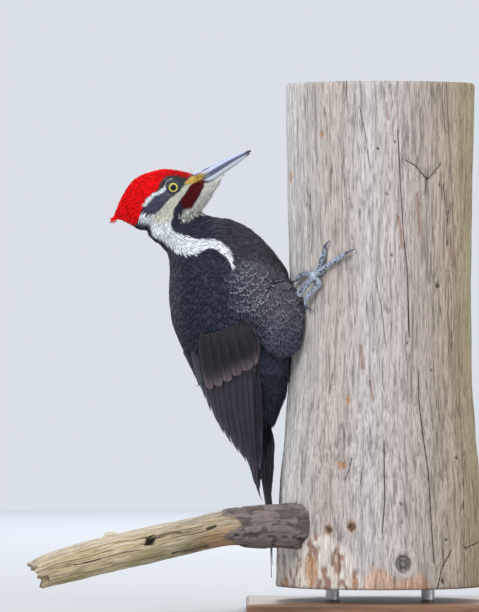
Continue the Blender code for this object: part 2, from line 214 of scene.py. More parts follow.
def colour_attribute(mesh, name, values):
    """Stores linear colours (n, 3) on the vertices."""
    attribute = mesh.attributes.new(name, "FLOAT_COLOR", "POINT")
    full = np.ones((len(values), 4), dtype=np.float32)
    full[:, :3] = values
    attribute.data.foreach_set("color", full.ravel())


def grid_faces(rows, columns, closed=True):
    """Quads of a grid of rows by columns vertices, wrapped round in the column direction if closed."""
    faces = []
    across = columns if closed else columns - 1
    for i in range(rows - 1):
        for j in range(across):
            k = (j + 1) % columns
            faces.append((i * columns + j, i * columns + k, (i + 1) * columns + k, (i + 1) * columns + j))
    return faces


def vertex_places(mesh):
    places = np.empty(len(mesh.vertices) * 3, dtype=np.float32)
    mesh.vertices.foreach_get("co", places)
    return places.reshape(-1, 3).astype(float)


def vertex_normals(mesh):
    normals = np.empty(len(mesh.vertices) * 3, dtype=np.float32)
    mesh.vertex_normals.foreach_get("vector", normals)
    return normals.reshape(-1, 3).astype(float)


# --- skin ----------------------------------------------------------------------------------
SKIN_VOXEL = 1.3 * MM
SKIN_SMOOTHING = 10
COAT_DEPTH_BODY = 1.9 * MM
COAT_DEPTH_HEAD = 1.3 * MM
HEAD_REACH = 62 * MM  # how far the head's thinner coat runs from the eyes


def joined_flesh():
    """One mesh of copies of the flesh nodes."""
    whole = bmesh.new()
    for node in FLESH:
        whole.from_mesh(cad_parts[node].data)
    mesh = bpy.data.meshes.new("flesh")
    whole.to_mesh(mesh)
    whole.free()
    return mesh


def applied(obj):
    """The object's mesh with its modifiers applied, set back on it."""
    graph = bpy.context.evaluated_depsgraph_get()
    mesh = bpy.data.meshes.new_from_object(obj.evaluated_get(graph))
    obj.modifiers.clear()
    obj.data = mesh
    return mesh


def make_skin(material):
    made = bpy.data.objects.new("skin", joined_flesh())
    bpy.context.scene.collection.objects.link(made)
    remesh = made.modifiers.new("one surface", "REMESH")
    remesh.mode = "VOXEL"
    remesh.voxel_size = SKIN_VOXEL
    smooth = made.modifiers.new("soften", "SMOOTH")
    smooth.iterations = SKIN_SMOOTHING
    smooth.factor = 0.5
    mesh = applied(made)
    places, normals = vertex_places(mesh), vertex_normals(mesh)
    reach = np.linalg.norm(places - np.array(EYE_PLACE), axis=1)
    body_share = smoothstep(HEAD_REACH * 0.6, HEAD_REACH, reach)
    depth = COAT_DEPTH_HEAD + (COAT_DEPTH_BODY - COAT_DEPTH_HEAD) * body_share
    places -= normals * depth[:, None]
    mesh.vertices.foreach_set("co", places.astype(np.float32).ravel())
    mesh.update()
    mesh.materials.clear()
    mesh.materials.append(material)
    mesh.shade_smooth()
    return made


def unwrap(skin):
    """An unwrap of the skin's own shape, on which every feather takes the place of its root."""
    bpy.context.view_layer.objects.active = skin
    skin.select_set(True)
    skin.data.uv_layers.new(name="OFBake")
    bpy.ops.object.mode_set(mode="EDIT")
    bpy.ops.mesh.select_all(action="SELECT")
    bpy.ops.uv.smart_project(angle_limit=math.radians(66), island_margin=0.002)
    bpy.ops.object.mode_set(mode="OBJECT")
    skin.select_set(False)


def skin_material():
    nodes = Nodes("plumage_skin", roughness=0.7)
    marks = nodes.attribute("marks").outputs["Color"]
    grain = nodes.noise(nodes.place(), 900.0, 3.0)
    nodes.colour(nodes.mix(nodes.math("MULTIPLY", grain, 0.5), marks, (0.01, 0.01, 0.012)))
    nodes.bump(grain, 0.3, 0.0004)
    return nodes.material


# --- markings ------------------------------------------------------------------------------
def srgb(red, green, blue):
    """Linear colour of display values 0 to 255."""
    shares = np.array([red, green, blue]) / 255
    return np.where(shares <= 0.04045, shares / 12.92, ((shares + 0.055) / 1.055) ** 2.4)


SLATE = srgb(50, 54, 69)
BREAST = srgb(84, 81, 91)
BELLY = srgb(62, 66, 82)
WING_BROWN = srgb(48, 43, 52)
# painted sheen: the back's edge lightened as by the sky's reflection at a grazing angle
PAINTED_BACK_SHEEN = srgb(92, 90, 103)
WHITE = srgb(246, 250, 255)
CREAM = srgb(226, 222, 196)
GREY_FACE = srgb(118, 122, 126)
EAR = srgb(84, 86, 106)
EYE_OLIVE = srgb(66, 66, 64)
OCHRE = srgb(232, 192, 96)
MAROON = srgb(96, 10, 16)
RED = srgb(255, 2, 10)
DARK_RED = srgb(150, 24, 30)
ORANGE = srgb(226, 110, 70)
FRINGE = srgb(222, 227, 238)

# Outlines of the markings in the side view, in picture units.
RED_CROWN = [
    (100, 230), (108, 196), (128, 176), (150, 160), (180, 160), (193, 168), (192, 174.8), (186.7, 177.9),
    (181, 178.9), (175.5, 177.6), (169.4, 178.4), (164.3, 180.4), (161.2, 184.8), (160.2, 188.9),
    (155, 192),
    (150, 197), (145.9, 202.1), (143.4, 207), (141.5, 213), (138.5, 219), (135.5, 223.5), (126, 228),
]
BROW_LINE = [
    (171.6, 180.9), (168.8, 182.6), (167, 186), (165, 189.4), (161.5, 191.9), (155.7, 194),
    (152.1, 196.8), (148.8, 200.6),
    (145.6, 205),
]
EYE_BAND = [
    (162.5, 189.5), (163.6, 184.4), (166.5, 180.6), (171.2, 178.8), (177, 178.8), (182.3, 180.4),
    (186.5, 182.4),
]
EYE_ARC = [(176, 181.6), (179, 183), (181, 185.4), (181.8, 188)]  # pale line ahead of the eye
EAR_PATCH = [
    (179, 181), (183, 186), (180.4, 190), (176, 193.6), (170, 197.6), (165.4, 202), (161.4, 207.4),
    (158, 212), (151, 215),
    (144, 214), (144, 209), (148, 203), (153, 198), (159, 193.5), (164, 189.5), (166, 184),
]
CHEEK_STRIPE = [
    (188.4, 182.2), (185.4, 184.9), (181.8, 188.4), (177.6, 192.7), (171.2, 197.7), (166.2, 202),
    (162, 207.7), (159, 213),
    (150, 216), (160, 224), (170, 220), (174, 212.3), (175.6, 207.7), (178.6, 203.4), (181.4, 199.1),
    (185, 194.1),
    (187.9, 189.1), (191, 185.4),
]
MALAR = [
    (204.8, 182.8), (204.3, 186.3), (200.9, 190.6), (198.4, 195.6), (196.2, 200.6), (193.6, 204.9),
    (190.7, 208.1),
    (185, 208.6), (182, 204.9), (181, 200.6), (184.8, 195.6), (187.8, 191.3), (190.5, 186), (198, 180.5),
    (206, 180),
]
THROAT = [
    (186, 209), (190.5, 207.8), (196, 202), (199.2, 196), (203.2, 188), (205, 181), (216, 172),
    (230, 166), (236, 176),
    (220, 200), (203, 216), (196, 216.5), (188, 221), (180, 222.5), (179, 215), (182, 210),
]
THROAT_SHADE = [
    (178.5, 203), (182, 208), (183, 214), (181.5, 220), (184, 227), (176, 229), (173.2, 222), (175.6, 212),
]
NECK_STRIPE = [
    (134, 223), (142.9, 212.3), (153, 209), (164, 209), (173, 213), (171.4, 220), (171, 226.6),
    (175.5, 232),
    (184.7, 235.4), (196.9, 239.4), (208.2, 239.6), (219, 241.3), (227.6, 248.6), (231.6, 257.2),
    (234, 268),
    (231, 268), (227.5, 258.3), (220.4, 252.4), (211.2, 248.4), (202, 250.4), (194.9, 254.4), (186.7, 256),
    (179.6, 252.6), (171.4, 247.4), (165.3, 242.4), (157.1, 237.2), (149, 235.6), (141, 231.5), (134, 227),
]
UPPER_FLANK = [
    (229, 262), (238, 260), (250, 264), (264, 266), (284, 272), (299, 288), (306, 312), (262, 316),
    (250, 313),
    (238, 308), (231, 292),
]
LOWER_FLANK = [(258, 316), (306, 312), (307, 335), (301, 356), (290, 366), (264, 364), (259, 340)]
# outline, spacing along and between the rows
FLANK_ROWS = ((UPPER_FLANK, 9.5, 4.8), (LOWER_FLANK, 7.5, 3.7))
WING_FLECK = [(259.8, 345), (260, 360)]  # white at the folded wing's leading edge
NAPE_HALF_WIDTH = 8.0 * MM  # black strip between the two white neck stripes
NASAL_TUFTS = [
    (185.4, 183.8), (187.1, 180.6), (190.7, 177.2), (194.3, 175.2), (198.6, 173.4), (204.3, 171.2),
    (208, 171),
    (207.1, 173), (202.1, 177.2), (197.9, 180.8), (194.3, 183.6), (190.7, 185.1),
]


def reach_inside(x, y, outline):
    """Distance to an outline, in picture units: positive inside, negative outside."""
    nearest = np.full(len(x), 1e9)
    inside = np.zeros(len(x), dtype=bool)
    for (x0, y0), (x1, y1) in zip(outline, outline[1:] + outline[:1]):
        ex, ey = x1 - x0, y1 - y0
        share = np.clip(((x - x0) * ex + (y - y0) * ey) / (ex * ex + ey * ey), 0, 1)
        nearest = np.minimum(nearest, np.hypot(x - x0 - share * ex, y - y0 - share * ey))
        crosses = (y0 > y) != (y1 > y)
        inside ^= crosses & (x < x0 + (y - y0) * ex / (ey if ey else 1e-9))
    return np.where(inside, nearest, -nearest)


def reach_line(x, y, line):
    """Distance to an open line, in picture units."""
    nearest = np.full(len(x), 1e9)
    for (x0, y0), (x1, y1) in zip(line, line[1:]):
        ex, ey = x1 - x0, y1 - y0
        share = np.clip(((x - x0) * ex + (y - y0) * ey) / (ex * ex + ey * ey), 0, 1)
        nearest = np.minimum(nearest, np.hypot(x - x0 - share * ex, y - y0 - share * ey))
    return nearest


def markings(places):
    """Plumage colour at places on the bird, the same on both sides, with painted sheen along the back's edge.
    """
    x, y = to_picture(places)
    wander = value_noise(places, 2.2 * MM, 3) - 0.5
    x = x + wander * 1.6
    y = y + (value_noise(places, 2.2 * MM, 4) - 0.5) * 1.6
    aside = np.abs(places[:, 1])
    colour = np.tile(SLATE, (len(x), 1))

    def lay(amount, shade):
        nonlocal colour
        amount = np.clip(amount, 0, 1)[:, None]
        colour = colour * (1 - amount) + np.asarray(shade) * amount

    def area(outline, soft=0.7):
        return smoothstep(-soft, soft, reach_inside(x, y, outline))

    lay(smoothstep(-22, 22, (x - 232) + (250 - y) * 0.4) * smoothstep(345, 300, y), BREAST)
    lay(smoothstep(256, 262, x) * smoothstep(318, 345, y), BELLY)
    lay(smoothstep(228, 240, x) * smoothstep(262, 254, x) * smoothstep(305, 345, y), WING_BROWN)
    # painted sheen along the back's edge, standing in for the sky's reflection
    lay(smoothstep(190, 168, x) * smoothstep(236, 262, y) * 0.8, PAINTED_BACK_SHEEN)
    lay(smoothstep(1.6, 0.8, reach_line(x, y, WING_FLECK)), WHITE)
    in_patch = smoothstep(
        NAPE_HALF_WIDTH * 0.8, NAPE_HALF_WIDTH * 1.25, aside + 0.012 * smoothstep(176, 186, x)
    )
    streaks = value_noise(places, 1.2 * MM, 7)
    lay(area(NECK_STRIPE, 0.9) * in_patch, WHITE)
    lay(area(THROAT, 0.9), CREAM * 0.55 + WHITE * 0.45)
    lay(
        area(THROAT, 0.9) * smoothstep(207, 214, y) * smoothstep(0.35, 0.6, streaks) * 0.75, GREY_FACE * 0.6
    )
    lay(area(THROAT_SHADE, 1.0) * smoothstep(0.4, 0.55, streaks), SLATE)
    lay(area(CHEEK_STRIPE, 0.9), CREAM * 0.75 + WHITE * 0.25)
    lay(area(EAR_PATCH, 0.9), EAR)
    lay(area(EAR_PATCH, 2.5) * smoothstep(0.45, 0.7, streaks) * 0.75 * smoothstep(208, 192, y), GREY_FACE)
    lay(area(MALAR, 0.7), MAROON)
    crown = area(RED_CROWN, 0.8)
    lay(crown, RED)
    front = smoothstep(150, 186, x) * smoothstep(0.35, 0.62, streaks)
    lay(crown * front * 0.75, DARK_RED * 0.45)
    lay(crown * smoothstep(221, 226, y) * smoothstep(124, 132, x), ORANGE)
    lay(smoothstep(3.4, 2.2, reach_line(x, y, EYE_BAND)), EYE_OLIVE)
    lay(smoothstep(3.4, 2.2, reach_line(x, y, EYE_BAND)) * smoothstep(0.55, 0.75, streaks) * 0.5, GREY_FACE)
    lay(smoothstep(2.3, 1.3, reach_line(x, y, BROW_LINE)), WHITE)
    lay(smoothstep(1.2, 0.5, reach_line(x, y, EYE_ARC)) * 0.6, GREY_FACE)
    lay(area(NASAL_TUFTS, 0.7), OCHRE)
    return colour


def fringes(places):
    """How pale the tips of the feathers are, from 0 to 1."""
    x, y = to_picture(places)
    upper = smoothstep(-4, 4, reach_inside(x, y, UPPER_FLANK))
    lower = smoothstep(-4, 6, reach_inside(x, y, LOWER_FLANK))
    patches = value_noise(places, 8 * MM, 5)
    rear = smoothstep(285, 250, x)
    above = upper * (0.45 + 0.5 * rear + 0.5 * (patches - 0.4))
    below = lower * (0.25 + 0.5 * patches) * smoothstep(366, 340, y)
    return np.clip(above + below, 0, 1)


# --- coat ----------------------------------------------------------------------------------
# The lie of the coat in the side view: place, direction (picture units, y down), then the feathers'
# length, breadth and spacing in mm, and how far their tips stand off the skin as a share of the coat's depth.
LIE = [
    (191, 176, -1.0, 0.1, 2.8, 0.8, 0.85, 0.8), (183, 173, -1.0, 0.05, 4.5, 0.9, 1.0, 0.9),
    (170, 170, -1.0, 0.0, 6.5, 1.1, 1.15, 0.9), (155, 171, -1.0, 0.2, 8.5, 1.2, 1.3, 1.0),
    (142, 178, -0.8, 0.6, 10, 1.3, 1.5, 1.1), (128, 195, -0.55, 0.83, 12, 1.4, 1.6, 1.2),
    (117, 213, -0.36, 0.93, 10, 1.4, 1.5, 1.0), (128, 217, -0.5, 0.86, 8, 1.4, 1.6, 1.1),
    (150, 188, -0.85, 0.5, 8, 1.1, 1.3, 0.9), (140, 205, -0.65, 0.76, 9, 1.2, 1.4, 1.0),
    (165, 179, -0.98, 0.15, 4.5, 0.8, 0.95, 0.7), (187, 181, -0.8, 0.5, 2.8, 0.7, 0.8, 0.7),
    (181, 190, -0.75, 0.66, 3.2, 0.7, 0.8, 0.8), (168, 198, -0.75, 0.66, 4.5, 0.9, 0.95, 0.9),
    (163, 190, -0.9, 0.45, 3.6, 0.8, 0.85, 0.8), (152, 203, -0.8, 0.6, 5.5, 1.0, 1.1, 1.0),
    (190, 197, -0.66, 0.75, 4.0, 0.8, 0.9, 0.9), (202, 186, -0.72, 0.7, 3.0, 0.7, 0.8, 0.8),
    (213, 180, -0.75, 0.66, 3.6, 0.8, 0.85, 1.2), (208, 193, -0.62, 0.78, 5.0, 0.9, 0.95, 1.6),
    (199, 206, -0.55, 0.84, 6.5, 1.1, 1.2, 1.5), (185, 213, -0.2, 0.98, 6.0, 1.1, 1.2, 1.2),
    (152, 217, -0.25, 0.97, 7.0, 1.3, 1.4, 1.3), (142, 225, 0.0, 1.0, 8.0, 1.5, 1.6, 1.4),
    (163, 227, 0.35, 0.94, 8.0, 1.5, 1.6, 1.3), (176, 222, 0.5, 0.86, 7.0, 1.3, 1.5, 1.2),
    (172, 240, 0.6, 0.8, 8.5, 1.6, 1.7, 1.3), (188, 246, 0.9, 0.43, 9.0, 1.8, 1.8, 1.2),
    (205, 245, 0.97, 0.22, 9.0, 1.8, 1.9, 1.2), (222, 249, 0.75, 0.66, 9.0, 1.8, 1.9, 1.2),
    (230, 260, 0.3, 0.95, 9.0, 2.0, 2.0, 1.2), (190, 228, 0.95, 0.3, 7.5, 1.8, 1.8, 1.0),
    (208, 224, 1.0, 0.15, 8.0, 2.2, 2.2, 1.0), (230, 228, 0.95, 0.3, 9.0, 2.6, 2.5, 1.0),
    (250, 240, 0.7, 0.7, 9.5, 3.0, 2.8, 1.0), (272, 256, 0.6, 0.8, 10, 3.4, 3.0, 1.0),
    (245, 262, 0.55, 0.83, 10, 3.4, 3.0, 1.1), (290, 274, 0.35, 0.94, 10, 3.6, 3.2, 1.0),
    (240, 285, 0.35, 0.94, 12, 5.5, 4.4, 1.3), (262, 285, 0.35, 0.94, 12.5, 6.0, 4.8, 1.2),
    (282, 295, 0.25, 0.97, 12, 6.0, 4.8, 1.2), (262, 318, 0.05, 1.0, 12, 5.0, 4.4, 1.2),
    (290, 325, 0.0, 1.0, 11, 5.0, 4.2, 1.1), (280, 350, -0.12, 0.99, 10, 3.6, 3.2, 1.0),
    (270, 375, -0.15, 0.98, 10, 3.4, 3.0, 1.0), (280, 395, -0.25, 0.97, 11, 3.6, 3.2, 1.3),
    (268, 412, -0.1, 0.99, 14, 4.0, 3.4, 1.3),
    (146, 236, 0.55, 0.83, 8.0, 2.0, 1.9, 1.0), (162, 252, 0.35, 0.94, 9.0, 2.8, 2.4, 0.9),
    (170, 275, 0.0, 1.0, 11, 4.0, 3.2, 0.8), (172, 310, 0.08, 1.0, 12, 4.6, 3.6, 0.8),
    (182, 345, 0.28, 0.96, 13, 5.0, 4.0, 0.8), (196, 378, 0.38, 0.92, 14, 5.0, 4.2, 0.8),
    (190, 275, 0.05, 1.0, 11, 4.2, 3.2, 0.8), (215, 262, 0.5, 0.86, 10, 3.6, 3.0, 0.9),
    (205, 310, 0.05, 1.0, 13, 5.0, 3.8, 0.8), (225, 295, 0.15, 0.99, 12, 5.0, 3.8, 0.8),
    (232, 330, 0.15, 0.99, 14, 6.0, 4.6, 0.8), (215, 350, 0.2, 0.98, 14, 6.0, 4.6, 0.8),
]
ARROWS = np.array(LIE)


def lie_of_coat(places):
    """Direction in the side plane and size of the feathers at places: an (n, 3) and an (n, 4) array."""
    x, y = to_picture(places)
    found = np.empty((len(x), 6))
    block = 20000
    for start in range(0, len(x), block):
        part = slice(start, start + block)
        near = (x[part, None] - ARROWS[:, 0]) ** 2 + (y[part, None] - ARROWS[:, 1]) ** 2 + 4.0
        weight = near**-2.0
        weight /= weight.sum(axis=1, keepdims=True)
        found[part] = weight @ ARROWS[:, 2:]
    direction = np.stack([found[:, 0], np.zeros(len(x)), -found[:, 1]], axis=1)
    tufts = reach_inside(x, y, NASAL_TUFTS) > -0.6
    direction[tufts] = np.array([0.88, 0, 0.475])
    crest = smoothstep(20, 5, np.hypot(x - CREST_TIP[0], y - CREST_TIP[1]))[:, None] * 0.85
    to_tip = unit(np.stack([CREST_TIP[0] - x, np.zeros(len(x)), y - CREST_TIP[1]], axis=1))
    direction = unit(direction) * (1 - crest) + to_tip * crest
    sizes = found[:, 2:]
    sizes[tufts] = (5.0, 0.8, 0.8, 1.5)
    sizes[tufts, 0] += 7.0 * smoothstep(187, 193, x[tufts])
    reach, ahead, above = from_eye(places)
    outward = (ahead[:, None] * np.array(BILL_AXIS) + above[:, None] * np.array(CROWN_AXIS)) / reach[:,
        None]
    inward = np.maximum(0, -(unit(direction) * outward).sum(1)) + 0.12
    round_eye = smoothstep(10 * MM, 6 * MM, reach) * ~tufts
    direction = unit(direction) + outward * (inward * round_eye)[:, None]
    sizes = sizes * (1 - round_eye[:, None]) + np.array([2.3, 0.62, 0.66, 0.7]) * round_eye[:, None]
    return direction, sizes


def unit(vectors):
    return vectors / np.maximum(np.linalg.norm(vectors, axis=1, keepdims=True), 1e-12)


class Surface:
    """A triangulated copy of a mesh that answers where its nearest point is, with a smooth normal."""

    def __init__(self, obj):
        mesh = obj.data
        mesh.calc_loop_triangles()
        self.places = vertex_places(mesh)
        self.normals = vertex_normals(mesh)
        count = len(mesh.loop_triangles)
        corners = np.empty(count * 3, dtype=np.int32)
        mesh.loop_triangles.foreach_get("vertices", corners)
        self.corners = corners.reshape(-1, 3)
        loops = np.empty(count * 3, dtype=np.int32)
        mesh.loop_triangles.foreach_get("loops", loops)
        self.loops = loops.reshape(-1, 3)
        self.tree = BVHTree.FromPolygons(self.places.tolist(), self.corners.tolist())
        self.face_normals = unit(self.normals[self.corners].mean(axis=1))
        layer = mesh.uv_layers.get("OFBake")
        if layer:
            uv = np.empty(len(mesh.loops) * 2, dtype=np.float32)
            layer.data.foreach_get("uv", uv)
            self.uv = uv.reshape(-1, 2)[self.loops].mean(axis=1)

    def snap(self, points):
        """Nearest surface places and normals, and the triangles they lie on."""
        places, normals = np.empty((len(points), 3)), np.empty((len(points), 3))
        faces = np.empty(len(points), dtype=np.int32)
        find = self.tree.find_nearest
        for i, point in enumerate(points.tolist()):
            place, _, face, _ = find(point)
            places[i] = place
            faces[i] = face
        normals[:] = self.face_normals[faces]
        return places, normals, faces

    def scatter(self, count, rng):
        """Random places spread evenly over the surface, with the triangles they lie on."""
        a, b, c = (self.places[self.corners[:, k]] for k in range(3))
        area = np.linalg.norm(np.cross(b - a, c - a), axis=1)
        chosen = rng.choice(len(area), size=count, p=area / area.sum())
        u, v = rng.random(count), rng.random(count)
        flip = u + v > 1
        u[flip], v[flip] = 1 - u[flip], 1 - v[flip]
        points = a[chosen] + (b - a)[chosen] * u[:, None] + (c - a)[chosen] * v[:, None]
        return points, chosen, area.sum() / 2


def spaced(points, spacing):
    """Indices of points kept so that each is its own spacing or more from those kept before it."""
    cell = float(spacing.max())
    taken = {}
    kept = []
    keys = np.floor(points / cell).astype(int)
    around = [(i, j, k) for i in (-1, 0, 1) for j in (-1, 0, 1) for k in (-1, 0, 1)]
    for index, (point, key) in enumerate(zip(points.tolist(), keys.tolist())):
        limit = spacing[index] ** 2
        near = False
        for i, j, k in around:
            for other in taken.get((key[0] + i, key[1] + j, key[2] + k), ()):
                dx, dy, dz = point[0] - other[0], point[1] - other[1], point[2] - other[2]
                if dx * dx + dy * dy + dz * dz < limit:
                    near = True
                    break
            if near:
                break
        if not near:
            taken.setdefault(tuple(key), []).append(point)
            kept.append(index)
    return np.array(kept)


# --- feathers ------------------------------------------------------------------------------
PATCH_HALF = 0.0015  # half the size of a feather's patch on the skin's unwrap
MOST_TRIANGLES = 190000  # in one piece of the coat


def lines_over(surface, starts, headings, lengths, shares, turn=0.0):
    """Lines laid over a surface: places, normals and headings, each (n, stations, 3).

    shares are the stations' places along each line, from 0 to 1, and turn is how strongly a line bends
    to the lie of the coat on its way. Where the surface ends, a line runs straight on.
    """
    places, normals, _ = surface.snap(starts)
    headings = unit(headings - normals * (headings * normals).sum(1, keepdims=True))
    all_places, all_normals, all_headings = [places], [normals], [headings]
    for share in np.diff(shares):
        step = (lengths * share)[:, None]
        ahead = places + headings * step
        found, found_normals, _ = surface.snap(ahead)
        off = np.linalg.norm(found - ahead, axis=1, keepdims=True) > 0.55 * step
        places = np.where(off, ahead, found)
        normals = np.where(off, normals, found_normals)
        if turn:
            local, _ = lie_of_coat(places)
            headings = unit(headings + unit(local) * turn)
        headings = unit(headings - normals * (headings * normals).sum(1, keepdims=True))
        all_places.append(places)
        all_normals.append(normals)
        all_headings.append(headings)
    return tuple(np.stack(values, axis=1) for values in (all_places, all_normals, all_headings))


class Pieces:
    """Gathers closed blades and vanes as arrays and makes joined meshes of them."""

    def __init__(self, name, material):
        self.name, self.material = name, material
        self.parts = []

    def add(self, places, triangles, colours, across, along, roots):
        """n feathers of v vertices: places and colours (n, v, 3), across and along (n, v), roots (n, 2)."""
        self.parts.append((places, triangles, colours, across, along, roots))

    def make(self):
        made = []
        batch, total = [], 0
        cut = []
        for part in self.parts:
            count, each = len(part[0]), len(part[1])
            room = max(1, MOST_TRIANGLES // each)
            for start in range(0, count, room):
                piece = tuple(
                    value if k == 1 else value[start : start + room] for k, value in enumerate(part)
                )
                size = len(piece[0]) * each
                if total + size > MOST_TRIANGLES and batch:
                    cut.append(batch)
                    batch, total = [], 0
                batch.append(piece)
                total += size
        cut.append(batch)
        for number, batch in enumerate(cut, 1):
            made.append(self.join(f"{self.name}_{number}" if len(cut) > 1 else self.name, batch))
        return made

    def join(self, name, batch):
        places, triangles, colours, across, along, uvs = [], [], [], [], [], []
        base = 0
        for part_places, part_triangles, part_colours, part_across, part_along, roots in batch:
            count, each = part_places.shape[:2]
            places.append(part_places.reshape(-1, 3))
            offsets = base + np.arange(count)[:, None, None] * each
            triangles.append((part_triangles[None] + offsets).reshape(-1, 3))
            colours.append(part_colours.reshape(-1, 3))
            across.append(part_across.ravel())
            along.append(part_along.ravel())
            patch = np.stack([part_across, part_along * 2 - 1], axis=2) * PATCH_HALF
            uvs.append((roots[:, None, :] + patch).reshape(-1, 2))
            base += count * each
        places, triangles = np.concatenate(places), np.concatenate(triangles)
        made = array_mesh(name, places, triangles, self.material)
        mesh = made.data
        colour_attribute(mesh, "marks", np.concatenate(colours))
        barbs = np.zeros((len(places), 3), dtype=np.float32)
        barbs[:, 0], barbs[:, 1] = np.concatenate(across), np.concatenate(along)
        mesh.attributes.new("barbs", "FLOAT_VECTOR", "POINT").data.foreach_set("vector", barbs.ravel())
        layer = mesh.uv_layers.new(name="OFBake")
        layer.data.foreach_set("uv", np.concatenate(uvs)[triangles.ravel()].astype(np.float32).ravel())
        return made


def blade_triangles(stations):
    """Corners of a closed blade with three-cornered sections and a pointed tip."""
    found = [(0, 1, 2)]
    for k in range(stations - 2):
        a = 3 * k
        for i, j in ((0, 1), (1, 2), (2, 0)):
            found += [(a + i, a + 3 + i, a + 3 + j), (a + i, a + 3 + j, a + j)]
    a, tip = 3 * (stations - 2), 3 * (stations - 1)
    found += [(a, tip, a + 1), (a + 1, tip, a + 2), (a + 2, tip, a)]
    return np.array(found)


EVEN = (0, 0.34, 0.68, 1)
FRINGED = (0, 0.4, 0.82, 0.92, 1)


def blades(pieces, surface, starts, headings, lengths, breadths, lifts, roots, colours, tips, shares=EVEN,
    turn=0.0,
           root_lift=-0.25 * MM, shape=(0.7, 1.0, 0.75), flat=0.55, tip_from=0.35, painted_root_shade=0.72):
    """Narrow closed blades laid over the skin.

    lifts is how high the tips stand; colours and tips are the colours of the blade and of its tip, which
    takes over from tip_from on. flat is the blade's height as a share of its half breadth.
    """
    count, stations = len(starts), len(shares)
    share = np.array(shares)
    places, normals, ahead = lines_over(surface, starts, headings, lengths, share, turn)
    height = root_lift * (1 - share) + lifts[:, None] * (share**1.3)[None]
    centre = places + normals * height[..., None]
    side = unit(np.cross(normals, ahead).reshape(-1, 3)).reshape(normals.shape)
    body = stations - 1
    half = 0.5 * breadths[:, None] * np.interp(share[:body], np.linspace(0, 0.85, len(shape)), shape)[None]
    ridge = np.minimum(flat * half, 0.45 * MM)
    left = centre[:, :body] - side[:, :body] * half[..., None]
    right = centre[:, :body] + side[:, :body] * half[..., None]
    top = centre[:, :body] + normals[:, :body] * ridge[..., None]
    rings = np.stack([left, top, right], axis=2).reshape(count, body * 3, 3)
    all_places = np.concatenate([rings, centre[:, body:]], axis=1)
    along = np.concatenate([np.repeat(share[:body], 3), share[body:]])[None].repeat(count, 0)
    across = np.concatenate([np.tile([-1.0, 0.0, 1.0], body), [0.0]])[None].repeat(count, 0)
    blend = smoothstep(tip_from, 1.0, along)[..., None]
    shades = colours[:, None, :] * (1 - blend) + tips[:, None, :] * blend
    # each blade darkened towards its root: painted shade under the blades that overlap it
    shades = shades * (painted_root_shade + (1 - painted_root_shade) * smoothstep(0.0, 0.5, along))[..., None]
    pieces.add(all_places, blade_triangles(stations), shades, across, along, roots)


def vane_triangles(stations, across):
    """Corners of a closed vane: rings of `across` points over and one under, ends shut."""
    ring = across + 1
    found = []
    for k in range(stations - 1):
        for i in range(ring):
            j = (i + 1) % ring
            a, b, c, d = k * ring + i, k * ring + j, (k + 1) * ring + i, (k + 1) * ring + j
            found += [(a, c, d), (a, d, b)]
    last = (stations - 1) * ring
    for i in range(1, ring - 1):
        found += [(0, i, i + 1), (last, last + i + 1, last + i)]
    return np.array(found)


def vanes(
    pieces, surface, centres, normals, ahead, half_widths, heights, thickness, roots, shades, across=5
):
    """Broad closed vanes along lines over a surface, bent to it across as well.

    centres, normals and ahead are (n, k, 3), half_widths and heights (n, k), and shades (n, k, 3) or
    (n, k, across, 3).
    """
    count, stations = centres.shape[:2]
    side = unit(np.cross(normals, ahead).reshape(-1, 3)).reshape(normals.shape)
    u = np.linspace(-1, 1, across)
    flat = centres[:, :, None] + side[:, :, None] * half_widths[:, :, None, None] * u[None, None, :, None]
    found, found_normals, _ = surface.snap(flat.reshape(-1, 3))
    found, found_normals = found.reshape(flat.shape), found_normals.reshape(flat.shape)
    own = np.broadcast_to(normals[:, :, None], flat.shape)
    distance = np.linalg.norm(found - flat, axis=-1, keepdims=True)
    off = distance > 0.6 * half_widths[:, :, None, None] + 0.3 * MM
    base = np.where(off, flat, found)
    out = unit(np.where(off, own, found_normals + own).reshape(-1, 3)).reshape(flat.shape)
    arch = (1 - u**2)[None, None, :] * 0.5 + 0.5
    top = base + out * (heights[:, :, None] + thickness * arch)[..., None]
    under = (base[:, :, across // 2] + out[:, :, across // 2] * (heights - 0.1 * MM)[..., None])[:, :, None]
    rings = np.concatenate([top, under], axis=2)
    all_places = rings.reshape(count, stations * (across + 1), 3)
    share = np.linspace(0, 1, stations)
    along = np.repeat(share, across + 1)[None].repeat(count, 0)
    crosswise = np.tile(np.append(u, 0.0), stations)[None].repeat(count, 0)
    if shades.ndim == 3:
        shades = np.repeat(shades[:, :, None], across, axis=2)
    # the underside takes half the colour of the vane's middle: painted shade under the vane
    full = np.concatenate([shades, shades[:, :, across // 2 : across // 2 + 1] * 0.5], axis=2)
    pieces.add(
        all_places, vane_triangles(stations, across), full.reshape(count, -1, 3), crosswise, along, roots
    )


def coat_material(name, sheen=0.0, roughness=0.55, bump=0.35):
    """Plumage: the carried marks and fine barbs across each feather."""
    nodes = Nodes(name, roughness=roughness, Specular_IOR_Level=0.18)
    marks = nodes.attribute("marks").outputs["Color"]
    split = nodes.add("SeparateXYZ", {"Vector": nodes.attribute("barbs").outputs["Vector"]})
    aside, along = split.outputs["X"], split.outputs["Y"]
    spread = nodes.math("ABSOLUTE", aside)
    slant = nodes.math("SUBTRACT", nodes.math("MULTIPLY", along, 26.0), nodes.math("MULTIPLY", spread, 3.0))
    wave = nodes.math("SINE", nodes.math("MULTIPLY", slant, 6.283))
    grain = nodes.noise(nodes.place(), 1500.0, 3.0)
    height = nodes.math("ADD", nodes.math("MULTIPLY", wave, 0.35), grain)
    shade = nodes.ramp(height, (0.1, 0.78), (0.9, 1.12))
    nodes.colour(nodes.mix(1.0, marks, shade, "MULTIPLY"))
    nodes.bump(height, bump, 0.00025)
    if sheen:
        nodes.shader.inputs["Sheen Weight"].default_value = sheen
        nodes.shader.inputs["Sheen Roughness"].default_value = 0.4
    return nodes.material


